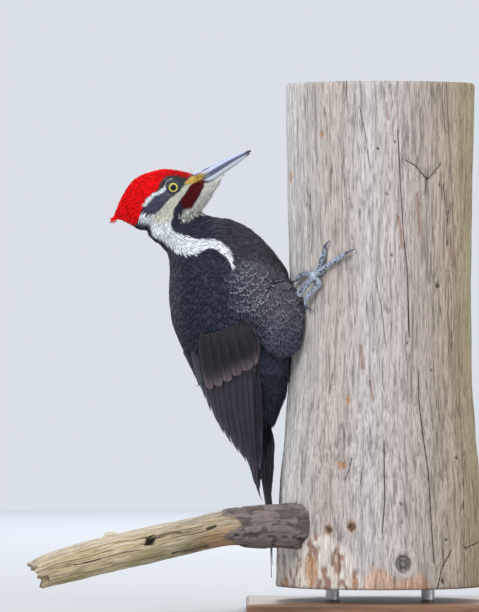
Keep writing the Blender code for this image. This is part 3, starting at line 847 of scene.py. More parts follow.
FAN_AREA = [  # where the feathers are loose fans of barbs; elsewhere on the body they are smooth vanes
    (176, 214), (186, 222), (196, 222), (205, 222), (212, 240), (221, 246), (231, 256), (236, 262),
    (240, 275), (236, 292),
    (240, 305), (250, 314), (257, 318), (259, 332), (258, 352), (256, 370), (262, 420), (330, 420),
    (330, 200), (200, 190),
]
BARE_WING = [
    (219, 342), (257, 336), (262, 345), (262, 372), (225, 392), (196, 398), (190, 386), (199, 380),
    (208, 374), (212, 362),
    (215, 350),
]
NEAREST_EYE = 5.75 * MM  # no feather starts nearer to the eye's axis than this
CREST_TIP = (110.5, 223)
SMALL_BREADTH = 2.3  # mm; feathers narrower than this are single blades


def from_eye(places):
    """Distance from the eyes' common axis, and how far ahead of and above it, in metres."""
    arm = places - np.array(EYE_PLACE)
    ahead = arm @ np.array(BILL_AXIS)
    above = arm @ np.array(CROWN_AXIS)
    return np.hypot(ahead, above), ahead, above


def bill_clear(places):
    """True where the skin is not under the bill's own root."""
    _, ahead, above = from_eye(places)
    inside = (ahead > 10.5 * MM) & (np.abs(above + 2.6 * MM) < 7.4 * MM) & (np.abs(places[:, 1]) < 6.6 * MM)
    return ~inside


def chosen_roots(surface, rng, low, high, closeness):
    """Evenly spaced roots where the breadth lies between low and high mm.

    closeness multiplies the spacing of the table.
    """
    tightest = max(low, 0.78) * closeness * MM
    _, _, area = surface.scatter(1, rng)
    points, faces, _ = surface.scatter(int(area / tightest**2 * 2.6), rng)
    direction, sizes = lie_of_coat(points)
    spacing = sizes[:, 2] * closeness * MM
    keep = (sizes[:, 1] >= low) & (sizes[:, 1] < high)
    keep &= rng.random(len(points)) < (tightest * 1.15 / spacing) ** 2
    reach, _, _ = from_eye(points)
    keep &= (reach > NEAREST_EYE) & bill_clear(points)
    x, y = to_picture(points)
    keep &= (reach_inside(x, y, BARE_WING) < 0) | (np.abs(points[:, 1]) < 22 * MM)
    points, faces, direction, sizes, spacing = (
        value[keep] for value in (points, faces, direction, sizes, spacing)
    )
    chosen = spaced(points, spacing)
    return points[chosen], faces[chosen], direction[chosen], sizes[chosen]


def turned(headings, normals, angles):
    """Headings turned about the normals by angles in radians."""
    headings = unit(headings - normals * (headings * normals).sum(1, keepdims=True))
    return headings * np.cos(angles)[:, None] + np.cross(normals, headings) * np.sin(angles)[:, None]


def small_feathers(surface, rng):
    """Blades of the face, crown, crest and neck."""
    pieces = Pieces("coat_head", coat_material("plumage_small", roughness=0.65))
    for low, high in ((0, 0.85), (0.85, 1.25), (1.25, SMALL_BREADTH)):
        points, faces, direction, sizes = chosen_roots(surface, rng, low, high, 0.62)
        normals = surface.face_normals[faces]
        count = len(points)
        x, y = to_picture(points)
        to_tip = np.hypot(x - CREST_TIP[0], y - CREST_TIP[1]) * PIXEL
        length = np.minimum(sizes[:, 0] * MM * rng.uniform(0.75, 1.2, count), to_tip * 0.9 + 1.5 * MM)
        breadth = sizes[:, 1] * MM * rng.uniform(0.55, 0.85, count)
        heading = turned(direction, normals, rng.normal(0, 0.13, count))
        lift = sizes[:, 3] * MM * rng.uniform(0.5, 1.45, count) * 1.2 * np.clip(to_tip / (12 * MM), 0.1, 1)
        shade_places = points + unit(heading) * (length * 0.45)[:, None]
        shades = markings(shade_places) * rng.uniform(0.76, 1.2, count)[:, None]
        tips = shades * rng.uniform(0.95, 1.25, count)[:, None]
        blades(
            pieces, surface, points, heading, length, breadth, lift, surface.uv[faces], shades, tips,
            turn=0.3
        )
    return pieces


def fans(pieces, surface, roots, rng, barbs, lift, loose, fill, fringed):
    """Feathers as fans of barbs over the skin.

    loose is how unruly the barbs are, from 0 to 1; fill is the barbs' breadth as a share of their room.
    """
    points, faces, direction, sizes = roots
    normals = surface.face_normals[faces]
    count = len(points)
    length = sizes[:, 0] * MM * rng.uniform(0.85, 1.15, count)
    breadth = sizes[:, 1] * MM
    twist = rng.normal(0, 0.05 + 0.06 * loose, count)
    tone = rng.uniform(0.95 - 0.07 * loose, 1.05 + 0.07 * loose, count)
    pale = fringes(points + unit(direction) * (length * 0.8)[:, None]) * rng.uniform(0.5, 1.1, count)
    shade = markings(points + unit(direction) * (length * 0.6)[:, None]) * tone[:, None]
    across = np.cross(normals, unit(direction))
    for b in range(barbs):
        spread = 2 * b / (barbs - 1) - 1
        angle = twist + spread * (0.62 * breadth / length) + rng.normal(0, 0.015 + 0.05 * loose, count)
        heading = turned(direction, normals, angle)
        start = points + across * (spread * 0.24 * breadth)[:, None]
        own_length = length * (1 - 0.28 * abs(spread) ** 2.2) * rng.uniform(0.97 - 0.1 * loose,
            1.03 + 0.05 * loose, count)
        own_breadth = breadth * fill / barbs * rng.uniform(0.85, 1.2, count)
        streak = rng.uniform(0.93 - 0.1 * loose, 1.07 + 0.12 * loose, count)[:, None]
        pale_now = (pale * rng.uniform(0.6, 1.15, count) * (1 - 0.85 * abs(spread) ** 3))[:, None].clip(0,
            1)
        tips = shade * (1 - pale_now) * 1.08 + FRINGE * pale_now
        own_lift = sizes[:, 3] * MM * lift * rng.uniform(1 - 0.35 * loose, 1 + 0.35 * loose, count)
        blades(pieces, surface, start, heading, own_length, own_breadth, own_lift, surface.uv[faces],
               shade * streak, tips,
            FRINGED if fringed else EVEN, turn=0.2, shape=(0.6, 1.0, 0.85), flat=0.25 + 0.3 * loose,
            tip_from=0.84 if fringed else 0.5, painted_root_shade=0.9 - 0.2 * loose)


def flank_rows(surface, outline, along_step, between, side, rng):
    """Roots in staggered rows over one flank, seen from the side."""
    xs, ys = zip(*outline)
    points, faces = [], []
    for row, y in enumerate(np.arange(min(ys), max(ys), between)):
        for x in np.arange(min(xs) + (row % 2) * along_step / 2, max(xs), along_step):
            spot = np.array([x, y]) + rng.normal(0, (0.35, 0.3)) + (0, 1.2 * math.sin(x / 9 + row))
            if reach_inside(spot[:1], spot[1:], outline)[0] < 0:
                continue
            place = to_frame(*spot)
            found, _, face, _ = surface.tree.ray_cast((place[0], side * 0.2, place[1]), (0, -side, 0))
            if found is not None:
                points.append(found)
                faces.append(face)
    points = np.array(points)
    direction, sizes = lie_of_coat(points)
    sizes[:, 0] = np.maximum(sizes[:, 0], between * 2.1)
    sizes[:, 1] = along_step * PIXEL / MM * 1.45
    return points, np.array(faces), direction, sizes


def body_feathers(surface, rng):
    """Loose fans of the breast, flanks and belly, and close smooth ones of the back and wing coverts."""
    loose = Pieces("coat_breast", coat_material("plumage_loose", roughness=0.7))
    smooth = Pieces("coat_back", coat_material("plumage_smooth", roughness=0.55))
    roots = chosen_roots(surface, rng, SMALL_BREADTH, 99, 0.86)
    x, y = to_picture(roots[0])
    in_fan = reach_inside(x, y, FAN_AREA) > 0
    in_rows = np.zeros(len(x), dtype=bool)
    barbs = 13
    for outline, along_step, between in FLANK_ROWS:
        in_rows |= (reach_inside(x, y, outline) > 0) & (np.abs(roots[0][:, 1]) > 16 * MM)
        for side in (RIGHT, LEFT):
            rows = flank_rows(surface, outline, along_step, between, side, rng)
            fans(loose, surface, rows, rng, barbs, 1.7, 0.55, 1.9, True)
    fans(loose, surface, [value[in_fan & ~in_rows] for value in roots], rng, barbs, 1.4, 0.9, 1.9, False)
    fans(smooth, surface, [value[~in_fan] for value in roots], rng, barbs, 0.95, 0.25, 2.3, False)
    return loose, smooth


# --- quills --------------------------------------------------------------------------------
# The folded wing's outer face, as stations down the wing: back x and z, front x and z, half width (mm),
# first and last angle round from the back. The last rows bear the primaries alone.
WING_ROWS = [
    (-186.7, 298, -110, 333.5, 41.5, 50, 86), (-187.4, 286, -93.3, 317.7, 46.5, 31, 101),
    (-187, 269.3, -75.7, 291.3, 50, 13, 104), (-183.9, 251.7, -68.6, 263.1, 51, 3, 108.6),
    (-176, 233.2, -69.5, 236.7, 48.5, 0.9, 108.8), (-167.2, 215.6, -74.8, 224, 43, 0.9, 107.5),
    (-158.8, 198, -79, 215, 38, 1, 106), (-155, 188, -81, 194, 34, 1.1, 103),
    (-150, 175.1, -84.5, 175.1, 30, 1.2, 102.7),
    (-141.7, 160.2, -87.1, 160.2, 25, 1.5, 99), (-129.4, 142.8, -91.5, 142.8, 19, 2, 93),
    (-119.7, 130.3, -98.6, 130.3, 14, 3, 94), (-114.8, 115.3, -101.8, 115.3, 10.5, 5, 104),
    (-110, 102.1, -102.6, 102.1, 8, 10, 112), (-106.5, 95.1, -103.4, 95.1, 6, 30, 125),
]
# Quills of the wing from the innermost out: places of the midline in the side view from root to tip,
# then half width in mm. Each lies over the next.
SECONDARIES = [
    ([(204, 334), (207, 362), (211, 389)], 6.2),
    ([(211, 333), (215, 360), (219, 386.5)], 6.2), ([(219, 331), (223, 355), (228, 381.5)], 6.0),
    ([(226, 328), (231, 350), (237.5, 375.5)], 6.4), ([(234, 325), (240, 344), (248, 370.5)], 7.0),
    ([(241, 322), (248, 340), (254.5, 365)], 6.4), ([(247, 320), (253, 335), (257, 356)], 5.2),
]
PRIMARIES = [
    ([(194, 345), (197, 370), (204.5, 399)], 5.6), ([(198, 345), (202, 380), (210, 411)], 5.6),
    ([(203, 345), (207, 385), (216.5, 423.5)], 5.6), ([(208, 345), (212, 390), (222.5, 434.5)], 5.6),
    ([(214, 345), (218, 397), (229.5, 445)], 5.6), ([(220, 345), (224, 403), (236.5, 454)], 5.5),
    ([(227, 345), (231, 408), (243, 463)], 5.4), ([(234, 345), (238, 412), (248.7, 472)], 5.3),
    ([(240, 345), (244.5, 418), (252.3, 485)], 5.0), ([(246, 345), (250, 424), (256, 495)], 4.8),
    ([(251, 345), (254.5, 425), (259.2, 501.5)], 4.3), ([(255, 345), (257.6, 425), (260.4, 497)], 3.6),
    ([(258, 348), (259.6, 415), (260.6, 470)], 3.0),
]
QUILL_STEP = 0.22 * MM  # how much higher each quill lies than the next one out
TAIL_ROWS = [  # height, ridge x, drop of the edges towards the log, half width (mm)
    (176, -108.5, 8, 8), (172, -108.5, 8, 9), (150.6, -108.7, 14.4, 15), (132, -107.2, 12.5, 20),
    (106.5, -103.4, 8.5, 24), (80, -99.4, 6.2, 22), (58, -97.2, 3.4, 17), (42, -96.6, 1.6, 11.5),
    (29, -96.2, 0.4, 3.5),
]
TAIL_ARCH = 1.6
# Tail quills from the middle pair out: height of the tip, sideways place at the root and at the tip,
# half width (mm).
RECTRICES = [
    (29.5, 3.0, 2.2, 6.2), (41, 6.0, 7.5, 6.4), (56, 8.5, 12.0, 6.4), (78, 10.5, 16.5, 6.2),
    (105, 12.0, 19.5, 5.6),
    (133, 13.0, 18.0, 4.6),
]


def smooth_rows(rows, steps):
    """Rows with smooth rows worked out between them (Catmull-Rom)."""
    rows = np.array(rows, dtype=float)
    found = []
    last = len(rows) - 1
    for i in range(last):
        a, b, c, d = (rows[max(0, min(last, i + k))] for k in (-1, 0, 1, 2))
        for step in range(steps):
            t = step / steps
            bend, twist = 2 * a - 5 * b + 4 * c - d, 3 * b - a - 3 * c + d
            found.append(0.5 * (2 * b + (c - a) * t + bend * t**2 + twist * t**3))
    found.append(rows[last])
    return np.array(found)


def shell_surface(grid, outward):
    """A Surface through a grid (rows, columns, 3) of places, its normals facing the outward direction."""
    rows, columns = grid.shape[:2]
    shell = new_object(
        "shell", grid.reshape(-1, 3), grid_faces(rows, columns, closed=False), plain_material()
    )
    mesh = shell.data
    normals = vertex_normals(mesh)
    if (normals @ np.array(outward)).mean() < 0:
        mesh.flip_normals()
    surface = Surface(shell)
    bpy.data.objects.remove(shell)
    bpy.data.meshes.remove(mesh)
    return surface


def plain_material():
    return bpy.data.materials.get("plain") or bpy.data.materials.new("plain")


def wing_grid(side):
    """Outer face of the folded wing: 6 rows to a station, 61 places round."""
    grid = []
    for row in smooth_rows(WING_ROWS, 6):
        back, front = np.array([row[0], 0, row[1]]) * MM, np.array([row[2], 0, row[3]]) * MM
        centre, forward = (back + front) / 2, (front - back) / np.linalg.norm(front - back)
        half_depth, half_width = np.linalg.norm(front - back) / 2, row[4] * MM
        t = np.radians(np.linspace(row[5], row[6], 61))[:, None]
        outwards = np.array([0, side, 0]) * half_width * np.sin(t)
        grid.append(centre - forward * half_depth * np.cos(t) + outwards)
    return np.array(grid)


def tail_grid():
    grid = []
    share = np.linspace(-1, 1, 41)
    for height, ridge, drop, half_width in smooth_rows(TAIL_ROWS, 5):
        x = ridge + drop * np.abs(share) ** TAIL_ARCH
        grid.append(np.stack([x, half_width * share, np.full_like(share, height)], axis=1) * MM)
    return np.array(grid)


def curve_through(points, count):
    """Places spaced evenly along a smooth line through the points."""
    dense = smooth_rows(points, 12)
    run = np.concatenate([[0], np.cumsum(np.linalg.norm(np.diff(dense, axis=0), axis=1))])
    at = np.linspace(0, run[-1], count)
    return np.stack([np.interp(at, run, dense[:, k]) for k in range(dense.shape[1])], axis=1)


QUILL_STATIONS = 30
QUILL_ACROSS = 9


def quill(pieces, surface, line, half_width, height, rng, shade, edge, tip_shape, sharp=0.0, root=(0, 0)):
    """One flight feather laid on a surface along line (k, 3): a closed vane with its shaft raised."""
    centres, normals, _ = surface.snap(line)
    distance = np.linalg.norm(centres - line, axis=1) > 1.5 * MM
    centres[distance] = line[distance]
    ahead = unit(np.gradient(centres, axis=0))
    normals = unit(normals - ahead * (normals * ahead).sum(1, keepdims=True))
    share = np.linspace(0, 1, len(centres))
    form = np.interp(share, *tip_shape)
    ragged = 1 + 0.05 * rng.normal(size=len(centres)) * (share > 0.5)
    half = half_width * form * ragged
    u = np.linspace(-1, 1, QUILL_ACROSS)
    edges = smoothstep(0.72, 1.0, np.abs(u))[None, :, None] * 0.8
    ends = smoothstep(0.5, 1.0, share)[:, None, None] ** 2
    pale = np.maximum(edges * (0.35 + 0.65 * ends), ends * 0.9)
    shades = shade[None, None] * (1 - pale) + edge[None, None] * pale
    middle = np.exp(-((u / 0.16) ** 2))[None, :, None] * (1 - sharp * 0.3)
    shades = shades * (1 - 0.45 * middle) * rng.uniform(0.92, 1.08)
    streak = value_noise(
        np.stack([share * 30, np.zeros_like(share), np.full_like(share, height * 9000)], 1), 1.0, 5
    )
    shades = shades * (0.9 + 0.2 * streak)[:, None, None]
    heights = (height - 1.3 * MM * smoothstep(0.3, 0.0, share))[None]
    vanes(pieces, surface, centres[None], normals[None], ahead[None], half[None], heights, 0.34 * MM,
          np.array([root], dtype=float), shades[None], QUILL_ACROSS)


ROUND_TIP = ((0, 0.05, 0.25, 0.7, 0.88, 0.95, 0.985, 1), (0.5, 0.8, 1, 1, 0.93, 0.74, 0.45, 0.15))
LONG_TIP = ((0, 0.05, 0.2, 0.6, 0.8, 0.92, 0.975, 1), (0.5, 0.8, 1, 0.98, 0.8, 0.58, 0.36, 0.1))
STIFF_TIP = ((0, 0.1, 0.4, 0.7, 0.85, 0.94, 1), (0.5, 0.9, 1, 0.85, 0.6, 0.34, 0.05))
QUILL_SHADE = srgb(50, 46, 56)
QUILL_EDGE = srgb(70, 64, 76)
SECONDARY_SHADE = srgb(30, 27, 34)
SECONDARY_EDGE = srgb(104, 90, 96)
OUTER_SHADE = srgb(32, 31, 40)
OUTER_EDGE = srgb(96, 100, 118)
TAIL_SHADE = srgb(11, 11, 18)
TAIL_EDGE = srgb(34, 38, 56)


def quill_material():
    """Stiff vanes: fine barbs slanting from the shaft, a little gloss."""
    nodes = Nodes("plumage_quill", roughness=0.45, Specular_IOR_Level=0.22)
    marks = nodes.attribute("marks").outputs["Color"]
    split = nodes.add("SeparateXYZ", {"Vector": nodes.attribute("barbs").outputs["Vector"]})
    aside, along = split.outputs["X"], split.outputs["Y"]
    spread = nodes.math("ABSOLUTE", aside)
    slant = nodes.math(
        "SUBTRACT", nodes.math("MULTIPLY", along, 110.0), nodes.math("MULTIPLY", spread, 6.0)
    )
    wave = nodes.math("SINE", nodes.math("MULTIPLY", slant, 6.283))
    patches = nodes.noise(nodes.scaled(nodes.place(), (260.0, 260.0, 60.0)), 1.0, 4.0)
    height = nodes.math("ADD", nodes.math("MULTIPLY", wave, 0.4), patches)
    shade = nodes.ramp(patches, (0.3, 0.82), (0.7, 1.15))
    nodes.colour(nodes.mix(1.0, marks, shade, "MULTIPLY"))
    nodes.rough(nodes.ramp(patches, (0.3, 0.36), (0.7, 0.52)))
    nodes.bump(height, 0.3, 0.0002)
    return nodes.material


def wing_quills(rng, material):
    made = []
    for name, side in SIDES.items():
        grid = wing_grid(side)
        surface = shell_surface(grid, (0, side, 0))
        flat = grid[:, :, [0, 2]].reshape(-1, 2)
        pieces = Pieces(f"quills_{name}", material)
        sets = (
            (PRIMARIES, -0.7 * MM, QUILL_SHADE, QUILL_EDGE, LONG_TIP),
            (SECONDARIES, 1.1 * MM, SECONDARY_SHADE, SECONDARY_EDGE, ROUND_TIP),
        )
        for quills, top, shade, edge, tip_shape in sets:
            for number, (line, half_width) in enumerate(quills):
                picture = curve_through(line, QUILL_STATIONS)
                x, z = to_frame(picture[:, 0], picture[:, 1])
                nearest = np.argmin(
                    (flat[None, :, 0] - x[:, None]) ** 2 + (flat[None, :, 1] - z[:, None]) ** 2, axis=1
                )
                y = grid[:, :, 1].reshape(-1)[nearest]
                y = np.convolve(np.pad(y, 3, mode="edge"), np.ones(7) / 7, mode="valid")
                places = np.stack([x, y, z], axis=1)
                outer = quills is PRIMARIES and number >= 10
                own_shade, own_edge = (OUTER_SHADE, OUTER_EDGE) if outer else (shade, edge)
                quill(pieces, surface, places, half_width * MM, top - number * QUILL_STEP, rng, own_shade,
                    own_edge,
                      tip_shape)
        piece = pieces.make()[0]
        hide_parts(f"primaries_{name}")
        made.append(piece)
    return made


def tail_quills(rng, material):
    surface = shell_surface(tail_grid(), (-1, 0, 0))
    pieces = Pieces("quills_tail", material)
    rows = np.array(TAIL_ROWS)[::-1]
    for number, (tip_height, root_aside, tip_aside, half_width) in enumerate(RECTRICES):
        for side in (RIGHT, LEFT):
            height = np.linspace(172, tip_height, QUILL_STATIONS)
            share = (172 - height) / (172 - tip_height)
            aside = root_aside + (tip_aside - root_aside) * share**0.8
            widest = np.interp(height, rows[:, 0], rows[:, 3])
            aside = np.minimum(aside, np.maximum(widest - half_width * 0.45, 0.4))
            ridge = np.interp(height, rows[:, 0], rows[:, 1])
            drop = np.interp(height, rows[:, 0], rows[:, 2])
            x = ridge + drop * (aside / widest) ** TAIL_ARCH
            line = np.stack([x, side * aside, height], axis=1) * MM
            lift = (-0.5 - number * 0.32 - (0.16 if side == LEFT else 0)) * MM
            quill(
                pieces, surface, line, half_width * MM, lift, rng, TAIL_SHADE, TAIL_EDGE, STIFF_TIP,
                sharp=1.0
            )
    piece = pieces.make()[0]
    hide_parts("tail")
    return piece


# --- eyes ----------------------------------------------------------------------------------
PUPIL, IRIS = 2.72, 4.05  # radii in mm of the pupil and of the iris that shows
LID_RINGS = [  # distance from the eye's axis and from the mid-plane (mm), and darkness from 0 to 1
    (3.95, 18.05, 1.0), (4.0, 18.5, 1.0), (4.2, 18.75, 0.85), (4.5, 18.75, 0.7), (4.8, 18.55, 0.95),
    (5.1, 18.35, 0.8), (5.6, 17.9, 1.0), (6.3, 17.2, 1.0), (7.2, 16.2, 1.0),
]
LID_GREY = srgb(96, 100, 124)
LID_DARK = srgb(34, 36, 50)


def eye_material():
    nodes = Nodes("eye", roughness=0.12, Specular_IOR_Level=0.12, Coat_Weight=0.3, Coat_Roughness=0.02)
    split = nodes.add("SeparateXYZ", {"Vector": nodes.attribute("disc").outputs["Vector"]})
    reach = split.outputs["Z"]
    ray = nodes.add("CombineXYZ", {"X": split.outputs["X"], "Y": split.outputs["Y"]}).outputs["Vector"]
    streak = nodes.noise(ray, 9.0, 3.0)
    wander = nodes.math("ADD", reach, nodes.math("MULTIPLY", streak, 0.22))
    pupil, iris = PUPIL / 6 + 0.018, IRIS / 6 + 0.018
    share = nodes.math("DIVIDE", wander, 6.0)
    colour = nodes.ramp(
        share, (0.0, tuple(srgb(3, 5, 22))), (pupil, tuple(srgb(6, 8, 22))),
        (pupil + 0.012, tuple(srgb(190, 170, 70))),
        ((pupil + iris) / 2, tuple(srgb(248, 238, 120))), (iris - 0.02, tuple(srgb(222, 205, 92))),
        (iris + 0.01, tuple(srgb(60, 56, 50))), (1.0, tuple(srgb(30, 28, 28))),
    )
    nodes.colour(
        nodes.mix(nodes.math("MULTIPLY", streak, 0.25), colour, tuple(srgb(160, 140, 60)), "MULTIPLY")
    )
    return nodes.material


def make_eye(name, side, material):
    """Eyeball with its clear front standing a little further out, pole outwards."""
    around, rows = 64, 40
    places, disc = [], []
    for i in range(rows + 1):
        polar = math.pi * (i / rows) ** 1.25
        for j in range(around):
            turn = math.tau * j / around
            reach = EYE_RADIUS / MM * math.sin(polar)
            out = EYE_RADIUS / MM * math.cos(polar)
            if polar < math.pi / 2:
                out += 0.3 * max(0.0, 1 - (reach / 4.2) ** 2)
            ahead, up = reach * math.cos(turn), reach * math.sin(turn)
            places.append(head_point(ahead, side * (EYE_OUT / MM - 0.35 + out), up))
            disc.append((math.cos(turn), math.sin(turn), reach if polar < math.pi / 2 else 6.0))
    faces = grid_faces(rows + 1, around)
    if side == LEFT:
        faces = [face[::-1] for face in faces]
    made = new_object(name, places, faces, material)
    flat = np.array(disc, dtype=np.float32).ravel()
    made.data.attributes.new("disc", "FLOAT_VECTOR", "POINT").data.foreach_set("vector", flat)
    return made


def lids(side):
    """Places, faces and colours of the wrinkled ring of bare skin round an eye."""
    around = 96
    rows = smooth_rows(LID_RINGS, 3)
    places, shades = [], []
    for reach, out, dark in rows:
        for j in range(around):
            turn = math.tau * j / around
            fold = 0.1 * math.sin(turn * 23 + 2.2 * math.sin(turn * 3)) * smoothstep(4.0, 4.4, reach)
            stretch = 1 + 0.05 * math.cos(2 * (turn - 0.35))
            ahead, up = reach * stretch * math.cos(turn), reach / stretch**0.6 * math.sin(turn)
            places.append(head_point(ahead, side * (out + fold), up))
            mottle = 0.5 + 0.5 * math.sin(turn * 11 + reach * 5) * math.sin(turn * 29)
            share = min(1.0, max(0.0, dark + 0.25 * (mottle - 0.5)))
            shades.append(LID_GREY * (1 - share) + LID_DARK * share)
    faces = grid_faces(len(rows), around)
    if side == RIGHT:
        faces = [face[::-1] for face in faces]
    return np.array(places), faces, np.array(shades)


def add_lids(skin):
    """Joins the lids to the skin, so that they are one piece with it."""
    parts = []
    for side in (RIGHT, LEFT):
        places, faces, shades = lids(side)
        part = new_object("lids", places, faces, skin.data.materials[0])
        colour_attribute(part.data, "marks", shades)
        part.data.uv_layers.new(name="OFBake")
        parts.append(part)
    with bpy.context.temp_override(active_object=skin, selected_editable_objects=[skin, *parts]):
        bpy.ops.object.join()


# --- bill ----------------------------------------------------------------------------------
# Stations along the bill: ahead of the eye, height of culmen, of the meeting line and of the keel,
# half width (mm).
BILL_ROWS = [
    (10.9, 4.4, -4.9, -9.2, 6.2), (16.2, 5.0, -4.9, -9.7, 6.8), (25, 4.3, -4.7, -9.7, 6.6),
    (33.8, 4.1, -3.9, -9.2, 6),
    (42.6, 4.1, -2.9, -7.9, 5.3), (51.4, 4.1, -1.7, -6.2, 4.5), (60.2, 3.8, -0.6, -4.5, 3.5),
    (69, 3.1, -0.1, -2.4, 2.3),
    (73.8, 2.4, 0.2, -0.9, 1.5), (75.6, 1.9, 0.3, -0.4, 1.3),
]
# The nostril: ahead (mm), share of the way round from the meeting line to the culmen, half length (mm).
NOSTRIL = (32.5, 0.62, 3.4)
BILL_UPPER = srgb(176, 186, 218)
BILL_LOWER = srgb(192, 202, 212)
BILL_BAND = srgb(40, 45, 78)
BILL_WARM = srgb(214, 204, 196)
BILL_TIP = srgb(38, 32, 44)
# painted shade for the nostril slit
PAINTED_NOSTRIL_SHADE = srgb(16, 15, 20)


def bill_half(name, rows, upper, material):
    """Upper or lower half of the bill: closed loft with ridges, nostrils and marks."""
    around = 49
    rows = smooth_rows(rows, 9)
    places, shades = [], []
    last = BILL_ROWS[-1][0]
    for ahead, culmen, meeting, keel, half_width in rows:
        far = culmen if upper else keel
        near = meeting + (0.12 if upper else -0.12)
        for k in range(around):
            t = math.pi * k / (around - 1)
            side = math.cos(t)
            rise = math.sin(t) ** 0.8 if upper else math.sin(t) ** 0.85
            share = 1 - abs(2 * k / (around - 1) - 1)  # 0 at the meeting line, 1 on the ridge
            fade = smoothstep(24, 34, ahead) * smoothstep(76, 60, ahead)
            swell = 0.0
            dark_hole = 0.0
            if upper:
                ridge_at = 0.62 - 0.1 * smoothstep(30, 70, ahead)
                swell += 0.28 * fade * math.exp(-(((share - ridge_at) / 0.07) ** 2))
                swell -= 0.26 * fade * math.exp(-(((share - ridge_at - 0.17) / 0.09) ** 2))
                swell -= 0.16 * fade * math.exp(-(((share - 0.3) / 0.14) ** 2))
                swell -= 0.22 * math.exp(-(((share - 0.045) / 0.03) ** 2))
                along = (ahead - NOSTRIL[0]) / NOSTRIL[2]
                dark_hole = math.exp(-(along**4)) * math.exp(
                    -(((share - NOSTRIL[1] - 0.015 * along) / 0.055) ** 2)
                )
                swell -= 0.8 * dark_hole
            else:
                swell += 0.12 * fade * math.exp(-(((share - 0.5) / 0.1) ** 2))
                swell -= 0.18 * math.exp(-(((share - 0.05) / 0.03) ** 2))
            reach = max(half_width + swell, 0.05)
            bulge = swell * 0.4 * rise * (1 if upper else -1)
            places.append(head_point(ahead, reach * side, near + (far - near) * rise + bulge))
            if upper:
                low = 0.3 - 0.12 * smoothstep(44, 25, ahead) + 0.12 * smoothstep(60, 76, ahead)
                shade = BILL_UPPER * (0.9 + 0.2 * share)
                band = smoothstep(low + 0.07, low - 0.07, share) * smoothstep(24, 36, ahead) * 0.9
                shade = shade * (1 - band) + BILL_BAND * band
                line = math.exp(-(((share - ridge_at - 0.1) / 0.045) ** 2)) * fade * 0.75
                shade = shade * (1 - line) + BILL_BAND * 1.5 * line
            else:
                warm = smoothstep(0.6, 0.95, share) * 0.8
                shade = BILL_LOWER * (1 - warm) + BILL_WARM * warm
                band = smoothstep(0.12, 0.03, share) * 0.8
                shade = shade * (1 - band) + BILL_BAND * band
            tip = smoothstep(last - 6.5, last - 2.0, ahead + 1.5 * (1 - share))
            shade = shade * (1 - tip) + BILL_TIP * tip
            # the nostril slit painted nearly black: painted shade in its groove
            shade = shade * (1 - min(1, dark_hole * 1.4)) + PAINTED_NOSTRIL_SHADE * min(1, dark_hole * 1.4)
            shades.append(shade)
    faces = grid_faces(len(rows), around)
    faces += [tuple(range(around))[::-1], tuple(range((len(rows) - 1) * around, len(rows) * around))]
    if upper:
        faces = [face[::-1] for face in faces]
    made = new_object(name, places, faces, material)
    colour_attribute(made.data, "marks", np.array(shades))
    streaks = np.array(
        [(k / around, i * 0.02, 0) for i in range(len(rows)) for k in range(around)], dtype=np.float32
    )
    made.data.attributes.new("run", "FLOAT_VECTOR", "POINT").data.foreach_set("vector", streaks.ravel())
    made.data.set_sharp_from_angle(angle=math.radians(50))
    return made


def bill_material():
    nodes = Nodes("bill_horn", roughness=0.34, Coat_Weight=0.15, Coat_Roughness=0.25)
    marks = nodes.attribute("marks").outputs["Color"]
    run = nodes.attribute("run").outputs["Vector"]
    streak = nodes.noise(nodes.scaled(run, (46.0, 3.0, 1.0)), 1.0, 5.0)
    mottle = nodes.noise(nodes.place(), 420.0, 4.0)
    shade = nodes.ramp(streak, (0.3, 0.82), (0.7, 1.1))
    nodes.colour(nodes.mix(1.0, marks, shade, "MULTIPLY"))
    nodes.rough(nodes.ramp(mottle, (0.3, 0.28), (0.7, 0.46)))
    nodes.bump(nodes.math("ADD", streak, nodes.math("MULTIPLY", mottle, 0.4)), 0.25, 0.0002)
    return nodes.material


# --- feet ----------------------------------------------------------------------------------
LOG_RADII = [(22, 91.5), (60, 90), (115, 87.5), (150, 84), (200, 80.5), (290, 79.5), (380, 81.2), (464, 83)]
LOG_MEAN_RADIUS = 84.0  # mm; turns degrees round the log into mm along its bark
NO_CRACK = 6.0  # stands for a crack too far off to show
LOG_LOBES = [(2, 0.007, 0.6), (3, 0.008, 2.1), (5, 0.005, 0.4)]
LOG_BOTTOM, LOG_TOP = 22 * MM, 464 * MM
# Places on the bark: degrees round from the -X side, height and lift off the bark (mm).
FOOT_CENTRE, ANKLE = (45, 294.5, 4.5), (36, 278, 11)
TOES = {
    "toe1": [(41, 296, 3.2), (35, 296.4, 3.4), (29, 294, 3.2), (24.5, 291.5, 2.6)],
    "toe2": [(48, 301, 3), (50.5, 307.5, 3.4), (52, 313, 3), (52.8, 316.8, 2.6)],
    "toe3": [(50, 299, 3), (56, 304, 3.4), (62, 309.2, 3.2), (66, 312.6, 2.6)],
    "toe4": [(48, 288, 3), (45, 282.5, 4.4), (40.5, 277, 5.6), (38, 272.5, 5)],
}
CLAWS = {
    "toe1": [(24.2, 291.3, 2.8), (22, 290, 4), (19.4, 288.2, 3.6), (17.2, 286.2, 0.7)],
    "toe2": [(52.9, 317.2, 2.8), (53.8, 320.5, 4), (55.2, 323.4, 3.4), (56.6, 325.6, 0.7)],
    "toe3": [(66.4, 312.9, 2.8), (69, 315, 4), (71.6, 316.8, 3.4), (73.8, 318, 0.7)],
    "toe4": [(37.9, 272, 5), (38, 268.8, 5.2), (39.6, 266, 3.8), (42, 264.8, 0.7)],
}
TOE_RADII = (2.6, 2.55, 2.35, 2.15, 2.0)
CLAW_RADII = (1.75, 1.45, 1.0, 0.22)
FOOT_SHIFT = {"right": 0, "left": -7}
SCUTE = 1.25  # length of one scale along a toe, mm
SCALE_LIGHT = srgb(176, 186, 202)
SCALE_DARK = srgb(34, 38, 48)
SOLE = srgb(150, 152, 140)


